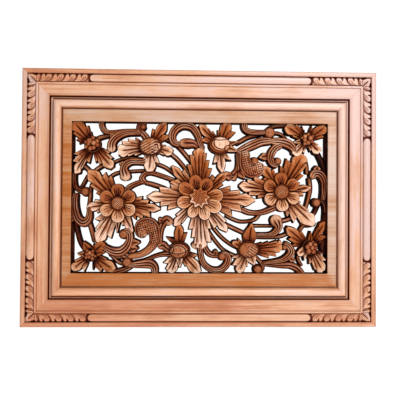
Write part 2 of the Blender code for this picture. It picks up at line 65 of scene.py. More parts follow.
# ================================================================ outer frame
# Four lengths of moulded hardwood, mitred at the corners and glued. Each has a flat outer
# fillet, a bead between two quirks, and a wide shallow cove. The bead is carved with a band
# of lapping leaves for a hand's breadth from each corner, and the whole is oiled to a satin.
FILLET_DEPTH = 34
BEAD_MIDDLE, BEAD_HALF, BEAD_FOOT, BEAD_HEIGHT = 18.5, 7.5, 31, 4.8
COVE_START, COVE_END, COVE_DEPTH = 32.7, 53.8, 33.4
RAIL_INNER = 55.1
MITRE_GAP = 0.06             # each end of a length stands back this much from the mitre
ARRIS = 0.2                  # sanded edge at the mitre
END_STAIN = 0.15             # polish that settles along the mitre
CRISP_FROM = 48              # faces that turn by more degrees than this meet in a crisp edge

# the band of leaves, measured along the rail from the frame's outer corner and inward
LEAF_PITCH = 23.2            # one big leaf with its small one
LEAF_COUNT = 4
FIRST_CUT = 36               # foot of the first cut between two leaves
SMALL_LEAF = 10.2            # width of a small leaf at the outer quirk
SWEEP, FIRST_SWEEP = 12.5, 5           # a cut ends this much nearer the corner at the inner quirk
BAND_START, BAND_WIDTH = 10.6, 15      # the band across the bead, from quirk to quirk
TURN_START, TURN_WIDTH = 13.5, 12.2    # a cut turns towards the corner in this part of the width
CUT_END = 25.7               # the inner quirk, where every cut ends
UPRIGHT_LEAF = 32.6          # middle of the small upright leaf next to the corner
BAND_END = 138.5             # the plain bead starts here with a half-round end
ROW_PITCH, ROWS_END = 0.64, 139        # spacing of the rows that carry the band, and their last
EVEN_TONE = 0.55             # tone of the band where nothing is carved


class Wire:
    """A link in a node tree. Sums on wires add Math nodes, and node() adds any other node."""

    def __init__(self, tree, socket=None):
        self.tree = tree
        self.socket = socket

    def node(self, kind, settings=None, sockets=None, output=0):
        """Add a node. Its settings are set first, then the values or links of its sockets."""
        made = self.tree.nodes.new(kind)
        for name, value in (settings or {}).items():
            setattr(made, name, value)
        for name, value in (sockets or {}).items():
            if isinstance(value, Wire):
                self.tree.links.new(value.socket, made.inputs[name])
            else:
                made.inputs[name].default_value = value
        return Wire(self.tree, made.outputs[output] if len(made.outputs) else None)

    def also(self, name):
        """Another output of the same node."""
        return Wire(self.tree, self.socket.node.outputs[name])

    def math(self, operation, *values):
        return self.node("ShaderNodeMath", {"operation": operation}, dict(enumerate(values)))

    def unsigned(self):
        """The value without its sign."""
        return self.math("ABSOLUTE", self)

    def between(self, low=0.0, high=1.0):
        return self.node("ShaderNodeClamp", None, {"Value": self, "Min": low, "Max": high})

    def colour_mix(self, share, first, second):
        """The first colour, giving way to the second one as share goes from 0 to 1."""
        first, second = [c if isinstance(c, Wire) else (*c, 1) for c in (first, second)]
        return self.node("ShaderNodeMix", {"data_type": "RGBA"}, {0: share, 6: first, 7: second}, 2)

    def __add__(self, other):
        return self.math("ADD", self, other)

    def __radd__(self, other):
        return self.math("ADD", other, self)

    def __sub__(self, other):
        return self.math("SUBTRACT", self, other)

    def __rsub__(self, other):
        return self.math("SUBTRACT", other, self)

    def __mul__(self, other):
        return self.math("MULTIPLY", self, other)

    def __rmul__(self, other):
        return self.math("MULTIPLY", other, self)

    def __truediv__(self, other):
        return self.math("DIVIDE", self, other)

    def __pow__(self, other):
        return self.math("POWER", self, other)


def polished_wood(name, colours, upright=False, roughness=0.42, figure=0.7, gloss=0.45, tooled=0.0):
    """Oiled hardwood in five colours, from pale to deep. The grain runs along X, or along Z
    where it stands upright. Figure is how strong the grain is, gloss the oil on it, and tooled
    the marks of the gouge. Each point carries the dark polishing left in the hollows together
    with painted shade in the hollows, down the walls and under parts, its tone, from warm to
    pale, which in places holds painted light and shade, and its flow, the way across and along
    the gouge's strokes."""
    pale, gold, warm, rust, deep = colours
    material = bpy.data.materials.new(name)
    material.use_nodes = True
    material.node_tree.nodes.clear()
    start = Wire(material.node_tree)
    place = start.node("ShaderNodeTexCoord", output="Object")
    if upright:
        place = start.node("ShaderNodeMapping", None, {"Vector": place, "Rotation": (0, math.pi / 2, 0)})
    # the dark polishing in the hollows and the painted shade, kept together on each point
    stain = start.node("ShaderNodeAttribute", {"attribute_name": "stain"}, output="Fac")
    tone = start.node("ShaderNodeAttribute", {"attribute_name": "tone"}, output="Fac")
    flow = start.node("ShaderNodeAttribute", {"attribute_name": "flow"}, output="Vector")

    def noise(spot, stretch, detail, sharpness=0.6):
        """Noise from -0.5 to 0.5, with so many waves to the unit along each axis."""
        stretched = start.node("ShaderNodeVectorMath", {"operation": "MULTIPLY"}, {0: spot, 1: stretch})
        return start.node("ShaderNodeTexNoise", None, {
            "Vector": stretched, "Scale": 1.0, "Detail": detail, "Roughness": sharpness}) - 0.5

    clouds = noise(place, (9, 22, 22), 3)
    bands = noise(place, (3, 90, 90), 2)
    streaks = noise(place, (12, 420, 420), 3)
    pores = noise(place, (90, 1800, 1800), 2)
    gouged = noise(flow, (0.36, 0.03, 1), 2, 0.5) * tooled
    scraped = noise(flow, (1.1, 0.07, 1), 2, 0.5) * tooled

    mixed = tone + (clouds * 2.0 + bands * 1.3 + streaks * 1.8) * figure
    mixed = mixed + gouged * 1.5 + scraped - stain * 0.55
    colour = start.colour_mix((mixed * 2).between(), warm, gold)
    colour = start.colour_mix((mixed * 2 - 1).between(), colour, pale)
    smoky = (clouds * -2.0 - bands * 1.4 - streaks * 0.5 - 0.06).between()
    colour = start.colour_mix(smoky * (0.9 * figure), colour, rust)
    colour = start.colour_mix((pores * 2.6 - 0.2).between() * 0.5, colour, rust)
    stain = stain + (gouged * -3.2 - scraped * 1.5 - 0.22).between() * 0.5
    patchy = stain * (1.0 + 0.9 * clouds + 0.6 * streaks)
    colour = start.colour_mix((patchy * 1.6 - 0.08).between(), colour, rust)
    colour = start.colour_mix((patchy * 2.0 - 0.86).between(), colour, deep)
    bump = start.node("ShaderNodeBump", None, {
        "Strength": 0.4, "Distance": 0.0004,
        "Height": streaks * 0.7 + pores * 0.3 + gouged * 2.5 + scraped})
    shader = start.node("ShaderNodeBsdfPrincipled", None, {
        "Base Color": colour,
        "Roughness": roughness + 0.3 * stain + 0.3 * streaks,
        "Specular IOR Level": 0.08,
        "Normal": bump,
        "Coat Weight": (gloss * (1 - 1.3 * stain)).between(),
        "Coat Roughness": 0.28,
    })
    start.node("ShaderNodeOutputMaterial", None, {"Surface": shader})
    return material


def stand(x, z, depth):
    """Points of the drawing, in millimetres, as places in the room, in metres."""
    x, z, depth = np.broadcast_arrays(x, z, depth)
    return np.stack([x, -depth, z + MIDDLE_Z * 1000], axis=-1) * 0.001


def skin(places, stain, tone=0.5, flow=(0, 0, 0), closed=False):
    """Skin through rows of places, each of which runs once round a section. It is capped at
    both ends, or goes round to its first row again where it is closed."""
    rows, count = places.shape[:2]
    number = np.arange(rows * count).reshape(rows, count)
    ahead = np.roll(number, -1, axis=0)
    quads = np.stack([number, np.roll(number, -1, axis=1), np.roll(ahead, -1, axis=1), ahead], axis=-1)
    if closed:
        faces = quads.reshape(-1, 4).tolist()
    else:
        faces = quads[:-1].reshape(-1, 4).tolist() + [number[0].tolist(), number[-1].tolist()]
    stain = np.broadcast_to(stain, (rows, count)).ravel()
    tone = np.broadcast_to(tone, (rows, count)).ravel()
    flow = np.broadcast_to(flow, (rows, count, 3)).reshape(-1, 3)
    return places.reshape(-1, 3), faces, stain, tone, flow


def new_object(name, data):
    """An object in the scene that shows a mesh, a curve, a lamp or a camera."""
    made = bpy.data.objects.new(name, data)
    bpy.context.scene.collection.objects.link(made)
    return made


def mark_points(mesh, **marks):
    """Keep a value on each point of a mesh under each name."""
    for name, values in marks.items():
        mesh.attributes.new(name, "FLOAT", "POINT").data.foreach_set("value", np.array(values, np.float32))


def finish_mesh(name, mesh, slot, *nodes):
    """Turn a mesh's faces outwards and show it as a piece that stands for CAD nodes."""
    sculpt = bmesh.new()
    sculpt.from_mesh(mesh)
    bmesh.ops.recalc_face_normals(sculpt, faces=sculpt.faces)
    sculpt.to_mesh(mesh)
    sculpt.free()
    mesh.shade_smooth()
    mesh.set_sharp_from_angle(angle=math.radians(CRISP_FROM))
    piece = new_object(name, mesh)
    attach(piece, "root")
    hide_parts(*nodes)


def finished_piece(name, skins, material, slot, *nodes):
    """One object from several closed skins, standing for CAD nodes."""
    faces = []
    start = 0
    for one in skins:
        faces += [[start + i for i in face] for face in one[1]]
        start += len(one[0])
    places, stain, tone, flow = [np.concatenate([one[i] for one in skins]) for i in (0, 2, 3, 4)]
    mesh = bpy.data.meshes.new(name)
    mesh.from_pydata(places.tolist(), [], faces)
    mark_points(mesh, stain=stain, tone=tone)
    flow = flow.astype(np.float32).ravel()
    mesh.attributes.new("flow", "FLOAT_VECTOR", "POINT").data.foreach_set("vector", flow)
    mesh.materials.append(material)
    finish_mesh(name, mesh, slot, *nodes)


def rise(value, start, end):
    """Smooth step from 0 to 1 as value goes from start to end."""
    share = np.clip((value - start) / (end - start), 0, 1)
    return share * share * (3 - 2 * share)


def cut(distance, half_width):
    """Section of a V cut: 1 at its middle and 0 from half_width outwards."""
    return np.clip(1 - np.abs(distance) / half_width, 0, 1)


def turned_cut(along, inward, foot, sweep):
    """A cut that starts square to the rail at its foot and turns round towards the corner:
    how far a place lies past the end of the turn, in sweeps, and how far from the cut."""
    past = (along - (foot - sweep)) / sweep
    risen = np.maximum(inward - TURN_START, 0) / TURN_WIDTH
    ring = np.hypot(past, risen) + 1e-6
    return past, (ring - 1) * ring / np.hypot(past / sweep, risen / TURN_WIDTH)


def leaf_band(along, inward):
    """The carving of the bead at a distance along the rail from the frame's corner and inward
    from its edge: how deep it goes, in millimetres, its dark, which is polishing with painted shade
    in the cuts, and its tone, with painted shade at each leaf's root and a painted highlight on
    its raised edge."""
    across = np.clip((inward - BAND_START) / BAND_WIDTH, 0, 1)
    depth = np.zeros_like(along)
    stain = np.zeros_like(along)
    tone = np.full_like(along, EVEN_TONE)

    def carve(deep, dark):
        """Cut the band down to this depth and stain, where it isn't deeper or darker yet."""
        np.maximum(depth, deep, out=depth)
        np.maximum(stain, dark, out=stain)

    for number in range(LEAF_COUNT + 1):
        foot = FIRST_CUT + number * LEAF_PITCH
        sweep = SWEEP if number else FIRST_SWEEP
        past, off = turned_cut(along, inward, foot, sweep)
        off = np.where(inward < TURN_START, along - foot, off)
        off = np.where(past < 0, inward - CUT_END, off)
        reach = 1 - rise(-past, 0.0, 0.5)
        wide = 1.35 + 3.8 * (1 - across) ** 5
        carve((4.6 - 2.3 * across) * cut(off - 0.4, wide) ** 0.75 * reach,
              (1.0 - 0.5 * across) * cut(off - 0.3, wide + 0.9) ** 0.6 * reach)
        if number == 0:
            continue
        # the leaf is highest along its edge and sinks towards its root, with two short veins
        # that run beside the cut
        within = (along > foot - LEAF_PITCH - 4) & (off < 0) & (off > -LEAF_PITCH)
        sink = 1.5 * rise(-off, 1.2, 9) * rise(across, 0.05, 0.6)
        veins = np.zeros_like(along)
        for inside in (4.6, 8.6):
            past, beside = turned_cut(along, inward, foot - inside, sweep)
            fade = (1 - rise(-past, -0.1, 0.15)) * rise(across, 0.22, 0.45)
            veins = np.maximum(veins, cut(beside, 1.1) * fade)
        # painted shade towards the root of each leaf, and a painted highlight along its raised edge
        root = rise(-off, 2, 8) * rise(across, 0.3, 1)
        carve(np.where(within, sink + 0.9 * veins, 0), np.where(within, 0.65 * veins + 0.3 * root, 0))
        tone = np.where(within, 0.35 + 0.75 * (1 - rise(-off, 0.8, 3.0)) - 0.3 * across, tone)
        # the notch between the small leaf and the big one
        notch_line = along - (foot - LEAF_PITCH + SMALL_LEAF) + 3.2 * across ** 1.2
        notch = cut(notch_line, 0.9 + 3.6 * (1 - across) ** 5) ** 0.8 * (1 - rise(across, 0.30, 0.62))
        carve(4.4 * notch, notch ** 0.7)

    # the diagonal leaf at the corner, the long cut beside it and the small upright leaf
    diagonal = (along - inward) / math.sqrt(2)
    middle = (along + inward) / 2
    rib = rise(middle, 15.0, 19) * (1 - rise(middle, 26.0, 28)) * cut(diagonal, 1.9)
    veins = cut(np.abs(diagonal) - 3.4, 0.9) * rise(middle, 17, 20) * (1 - rise(middle, 26, 28))
    carve(2.8 * rib, 0.95 * rib)
    carve(0.8 * veins, 0.5 * veins)
    wedge = np.clip((along - 18) / 10.0, 0, 1) * (1 - rise(along, 28.0, 31.0))
    notch = np.clip(1.3 - (inward - 10.8) / (0.5 + 4.6 * wedge), 0, 1) * rise(wedge, 0.02, 0.25)
    carve(4.4 * notch, notch)
    arch = np.hypot((along - UPRIGHT_LEAF) / 3.9, np.minimum(inward - 16.4, 0) / 3.6) - 1
    edge = cut(arch * 3.6 - 0.2, 1.2) * (1 - rise(inward, 22, 26)) * rise(inward, 11.5, 13)
    carve(1.7 * edge, 0.8 * edge)
    rib = cut(along - UPRIGHT_LEAF, 1.0) * rise(inward, 14.5, 17.5)
    carve(2.0 * rib, 0.9 * rib)

    # the gap before the plain bead, whose end is half round
    end = np.hypot(along - BAND_END, inward - BEAD_MIDDLE) - 6.9
    gap = rise(end, -0.6, 0.8) * rise(along, 127.5, 129.5) * (1 - rise(along, BAND_END, BAND_END + 1.5))
    carve(3.8 * gap, gap)

    carved = along < BAND_END + 2
    depth *= carved * rise(inward, 9.9, 10.7) * (1 - rise(inward, 25.4, 26.2))
    stain *= carved * rise(inward, 9.0, 10.0) * (1 - rise(inward, 25.6, 26.8))
    return depth, stain, np.where(carved & (inward > 10) & (inward < 26), tone, EVEN_TONE)


def outer_section(bead_painted_light, fillet_painted_light, outer_line, inner_line):
    """Round the section of an outer rail: inward distances, depths, the dark polishing with painted
    shade in the quirks on either side of the bead and elsewhere, and how much paler the wood is
    painted for the light."""
    bead = BEAD_MIDDLE - BEAD_HALF * np.cos(np.linspace(0.06, math.pi - 0.06, 27))
    bead_depth = BEAD_FOOT + BEAD_HEIGHT * np.sqrt(1 - ((bead - BEAD_MIDDLE) / BEAD_HALF) ** 2)
    cove = np.linspace(COVE_START, COVE_END - 1, 9)
    cove_depth = COVE_DEPTH - 1.0 * np.sin(math.pi * (cove - COVE_START) / (COVE_END - COVE_START))
    points = [(0, 0), (0, 10), (0, 24), (0, 31.5), (0.25, 32.6), (0.9, 33.5),           # outer side
              (2.4, FILLET_DEPTH), (6, 34), (9.2, 34), (9.8, 33.2), (10.2, 30.8), (10.6, 30.4)]
    points += list(zip(bead, bead_depth))
    points += [(26.3, 30.6), (26.8, 31.2), (27.2, 33.2), (27.8, 34), (30.6, 34),        # quirk, fillet
               (31.1, 33.6), (31.7, 32.3), (32.2, 32.7)]
    points += list(zip(cove, cove_depth))
    points += [(53.5, 33.2), (COVE_END, 32.8), (COVE_END, 28), (COVE_END, 24),          # inner side
               (RAIL_INNER, 23.6), (RAIL_INNER, 12), (RAIL_INNER, 0)]
    inward, depth = np.array(points, float).T
    # dark polishing with painted shade in the quirks, along the outer arris and in the gap beside the
    # moulding
    marks = [(0, 0.3), (1.5, 0.12), (5, 0.06), (8, 0.08), (9.4, 0.4 * outer_line), (10.2, outer_line),
             (10.9, outer_line), (13, 0), (24, 0), (26.2, inner_line), (27.4, 0.05), (30.6, 0.05),
             (31.7, 0.42), (33, 0.04), (45, 0.04), (53, 0.22), (53.5, 0.6)]
    section_polish_and_shade = np.interp(inward, *zip(*marks))
    section_polish_and_shade = np.where((depth < 32.9) & (inward > 53), 0.9, section_polish_and_shade)
    section_polish_and_shade = np.where((depth < 30) & (inward < 1), 0.2, section_polish_and_shade)
    paler = bead_painted_light * (np.abs(inward - BEAD_MIDDLE) < BEAD_HALF - 0.5) + fillet_painted_light * (inward < 10)
    return inward, depth, section_polish_and_shade, paler


# painted light and sheen: the rails at the top and right, where the light falls, are painted paler than
# those at the bottom and left
SIDE_PAINTED_LIGHT = {"top": 0.75, "bottom": 0.3, "left": 0.42, "right": 0.85}
END_PAINTED_LIGHT = 0.34              # painted light: how much paler the right or upper end of a rail is painted than its middle
# on each side: how much paler the bead and the fillet are painted for the light, and the dark polishing with
# painted shade in the bead's two quirks
RAIL_LIGHT_AND_SHADE = {
    "top": (0.0, -0.2, 0.75, 0.6),
    "bottom": (0.1, 0.0, 0.75, 0.6),
    "left": (0.4, 0.15, 0.35, 0.2),
    "right": (0.3, -0.15, 0.65, 0.25),
}
# length of each side, and where a distance along it and inward lies on the panel
SIDES = {
    "top": (WIDTH, lambda along, inward: (along, HEIGHT / 2 - inward)),
    "bottom": (WIDTH, lambda along, inward: (-along, inward - HEIGHT / 2)),
    "left": (HEIGHT, lambda along, inward: (inward - WIDTH / 2, along)),
    "right": (HEIGHT, lambda along, inward: (WIDTH / 2 - inward, -along)),
}


def mitred_skin(side, section, steps, carving=None):
    """A length of moulding whose rows lie parallel to the mitre at its nearer end."""
    length, on_panel = SIDES[side]
    inward, depth, section_polish_and_shade, paler = section
    near = np.array(steps)[:, None] + inward + MITRE_GAP
    middle = [near[-1] + share * (length - 2 * near[-1]) for share in (0.25, 0.5, 0.75)]
    along = np.concatenate([near, middle, length - near[::-1]])
    inward = np.broadcast_to(inward, along.shape)
    depth = np.broadcast_to(depth, along.shape).copy()
    stain = np.broadcast_to(section_polish_and_shade, along.shape).copy()
    x, z = on_panel(along - length / 2, inward)
    # painted light: paler on the sides and towards the ends where the light falls
    tone = SIDE_PAINTED_LIGHT[side] + paler + END_PAINTED_LIGHT * (z if length == HEIGHT else x) / (length / 2)
    if carving:
        cut_depth, carved_stain, carved_tone = carving(np.minimum(along, length - along), inward)
        tone += carved_tone - EVEN_TONE
        depth -= cut_depth
        stain = np.maximum(stain, carved_stain)
    for end in (0, -1):
        depth[end] -= ARRIS * (depth[end] > 20)
        stain[end] = np.maximum(stain[end], END_STAIN)
    return skin(stand(x, z, depth), stain, tone)


FRAME_COLOURS = (
    (0.545, 0.372, 0.325),       # pale
    (0.57, 0.31, 0.185),         # gold
    (0.47, 0.19, 0.095),         # warm
    (0.22, 0.050, 0.020),        # rust
    (0.085, 0.012, 0.004),       # deep
)
frame_woods = {
    "level": polished_wood("frame_wood_level", FRAME_COLOURS),
    "upright": polished_wood("frame_wood_upright", FRAME_COLOURS, upright=True),
}
GRAIN = {"top": "level", "bottom": "level", "left": "upright", "right": "upright"}
carved_steps = [0, 0.3, 0.9] + list(np.arange(1.5, ROWS_END, ROW_PITCH))
for side in SIDES:
    rail_skin = mitred_skin(side, outer_section(*RAIL_LIGHT_AND_SHADE[side]), carved_steps, leaf_band)
    finished_piece("outer_rail_of_" + side, [rail_skin], frame_woods[GRAIN[side]], "frame",
                   "outer_rail_" + side)


# ================================================================ inner moulding
# A half-round moulding with a small step, mitred in four lengths and pinned over the edge of
# the carved board. It stands a little proud of the outer frame.
MOULDING_BACK = 18.3
ROUND_MIDDLE, ROUND_HALF, ROUND_FOOT, ROUND_HEIGHT = 68.5, 8.2, 28.4, 9.8


def moulding_section(outer_line, inner_line):
    """Round the section of the inner moulding, as for an outer rail. The lines are the dark
    polishing with painted shade beside the step and along the board."""
    turn = np.linspace(0.05, math.pi - 0.05, 27)
    nose = ROUND_MIDDLE - ROUND_HALF * np.cos(turn)
    nose_depth = ROUND_FOOT + ROUND_HEIGHT * np.sin(turn)
    points = [(55.4, MOULDING_BACK), (55.4, 22), (55.4, 27.2), (55.7, 27.8), (56.2, 28),     # step
              (58.3, 28), (58.8, 27.4), (59.3, 25.9), (59.8, 25.9)]
    points += list(zip(nose, nose_depth))
    points += [(76.9, 26), (77.2, 25), (78.6, 25), (78.6, 22), (78.6, MOULDING_BACK)]
    inward, depth = np.array(points, float).T
    marks = [(55.4, 0.8), (56.2, 0.2), (57.8, 0.2), (58.8, outer_line), (59.8, outer_line),
             (60.6, 0.3 * outer_line), (63, 0.08), (66, 0), (72, 0), (75, 0.04),
             (76.6, 0.8 * inner_line), (78.6, inner_line)]
    return inward, depth, np.interp(inward, *zip(*marks)), 0.25 * (inward < 74)


MOULDING_COLOURS = (
    (0.62, 0.41, 0.33),          # pale
    (0.61, 0.325, 0.19),         # gold
    (0.52, 0.22, 0.11),          # warm
    (0.22, 0.045, 0.018),        # rust
    (0.085, 0.010, 0.003),       # deep
)
moulding_woods = {
    "level": polished_wood("moulding_wood_level", MOULDING_COLOURS, roughness=0.36),
    "upright": polished_wood("moulding_wood_upright", MOULDING_COLOURS, upright=True, roughness=0.36),
}
# on each side: the dark polishing with painted shade beside the step and along the board
MOULDING_SHADE_LINES = {"top": (0.75, 0.5), "bottom": (0.8, 0.15), "left": (0.15, 0.6), "right": (0.3, 0.55)}
moulding_steps = [0, 0.3, 1, 10, 40, 80]
for side in SIDES:
    moulding_skin = mitred_skin(side, moulding_section(*MOULDING_SHADE_LINES[side]), moulding_steps)
    finished_piece("inner_moulding_of_" + side, [moulding_skin], moulding_woods[GRAIN[side]], "moulding",
                   "inner_moulding_" + side)


# ================================================================ carved board: border
# One board of darker hardwood. Its plain border is tongued under the inner moulding; inside,
# everything between the flowers is sawn away, and a low ledge of the saw cut is left all round.
BOARD_BACK = 1.0
TONGUE_DEPTH = 18
BORDER_DEPTH = 30
BOARD_EDGE = 55.4            # distances in from the frame's outer edge
BORDER_START = 78.9
OPENING_WIDTH = 506.6
OPENING_HEIGHT = 298
OPENING_LIFT = 1             # the opening's middle above the frame's
LEDGE_DEPTH = 9
LEDGE_SIDE, LEDGE_ENDS = 3.7, 0.5      # how far the ledge reaches into the opening
DRAWN_WIDTH = 510            # width of the opening that the carving is drawn for
FIT = OPENING_WIDTH / DRAWN_WIDTH

# round the border's section: what a distance is measured from, the distance, depth and stain; the dark
# beside the moulding and down the walls of the opening and its ledge is painted shade with the dark
# polishing
BORDER_SECTION = [
    ("edge", BOARD_EDGE + 1, BOARD_BACK, 0.3),
    ("edge", BOARD_EDGE, BOARD_BACK, 0.5),
    ("edge", BOARD_EDGE, TONGUE_DEPTH, 0.5),
    ("edge", BORDER_START, TONGUE_DEPTH, 0.9),
    ("edge", BORDER_START, BORDER_DEPTH - 1.2, 0.8),
    ("edge", BORDER_START + 0.3, BORDER_DEPTH - 0.4, 0.4),
    ("edge", BORDER_START + 1, BORDER_DEPTH, 0.1),
    ("edge", BORDER_START + 2.5, BORDER_DEPTH, 0),
    ("opening", 2.2, BORDER_DEPTH, 0),
    ("opening", 0.9, BORDER_DEPTH, 0),
    ("opening", 0.25, BORDER_DEPTH - 0.4, 0.2),
    ("opening", 0, BORDER_DEPTH - 1.1, 0.75),
    ("opening", 0, BORDER_DEPTH - 3, 1),
    ("opening", 0, LEDGE_DEPTH + 6, 1),
    ("opening", 0, LEDGE_DEPTH, 1),
    ("ledge", 0, LEDGE_DEPTH, 1),
    ("ledge", 0, 5, 1),
    ("ledge", 0, BOARD_BACK, 0.9),
    ("ledge", 1, BOARD_BACK, 0.3),
]
# steps from each corner to the next, and how pale the wood is at some of them, from upper left; this is
# painted light, paler on the top and right and darker on the bottom and left
CORNER_STEPS = (0, 0.02, 0.25, 0.5, 0.75, 0.98)
BORDER_PAINTED_LIGHT = [(0, 0.5), (2, 0.7), (4, 0.7), (8, 0.85), (10, 0.85), (12, 0.45), (14, 0.0), (16, -0.08),
                (18, 0.05), (20, 0.2), (22, 0.2), (24, 0.5)]


def border_ring():
    """The border's section carried round the four corners, with a few steps along each side."""
    corners = []
    for way_x, way_z in ((-1, 1), (1, 1), (1, -1), (-1, -1)):
        row = []
        for measured_from, inset, depth, stain in BORDER_SECTION:
            if measured_from == "edge":
                x, z = WIDTH / 2 - inset, way_z * (HEIGHT / 2 - inset)
            else:
                side, ends = (LEDGE_SIDE, LEDGE_ENDS) if measured_from == "ledge" else (0, 0)
                x = OPENING_WIDTH / 2 + inset - side
                z = way_z * (OPENING_HEIGHT / 2 + inset - ends) + OPENING_LIFT
            row.append((way_x * x, z, depth))
        corners.append(row)
    corners = np.array(corners, float)
    rows = []
    for corner, following in zip(corners, np.roll(corners, -1, axis=0)):
        rows += [corner + (following - corner) * share for share in CORNER_STEPS]
    x, z, depth = np.moveaxis(np.array(rows), -1, 0)
    stains = np.array([part[3] for part in BORDER_SECTION])
    tones = np.interp(np.arange(len(rows)), *zip(*BORDER_PAINTED_LIGHT))
    return skin(stand(x, z, depth), stains, tones[:, None], closed=True)


BOARD_COLOURS = (
    (0.46, 0.322, 0.258),        # pale
    (0.43, 0.225, 0.12),         # gold
    (0.36, 0.108, 0.020),        # warm
    (0.17, 0.038, 0.010),        # rust
    (0.022, 0.0025, 0.0006),     # deep
)
board_wood = polished_wood("board_wood", BOARD_COLOURS, roughness=0.4, figure=0.6)
finished_piece("board_border", [border_ring()], board_wood, "carving", "carved_board")


# ================================================================ carved board: scrolls and stems
# Rounded bands that roll between the flowers, cut with lengthwise grooves by a gouge; thin dark
# stems lie lower. Two fat scrolls end in a comma that is cross-hatched like a seed head.

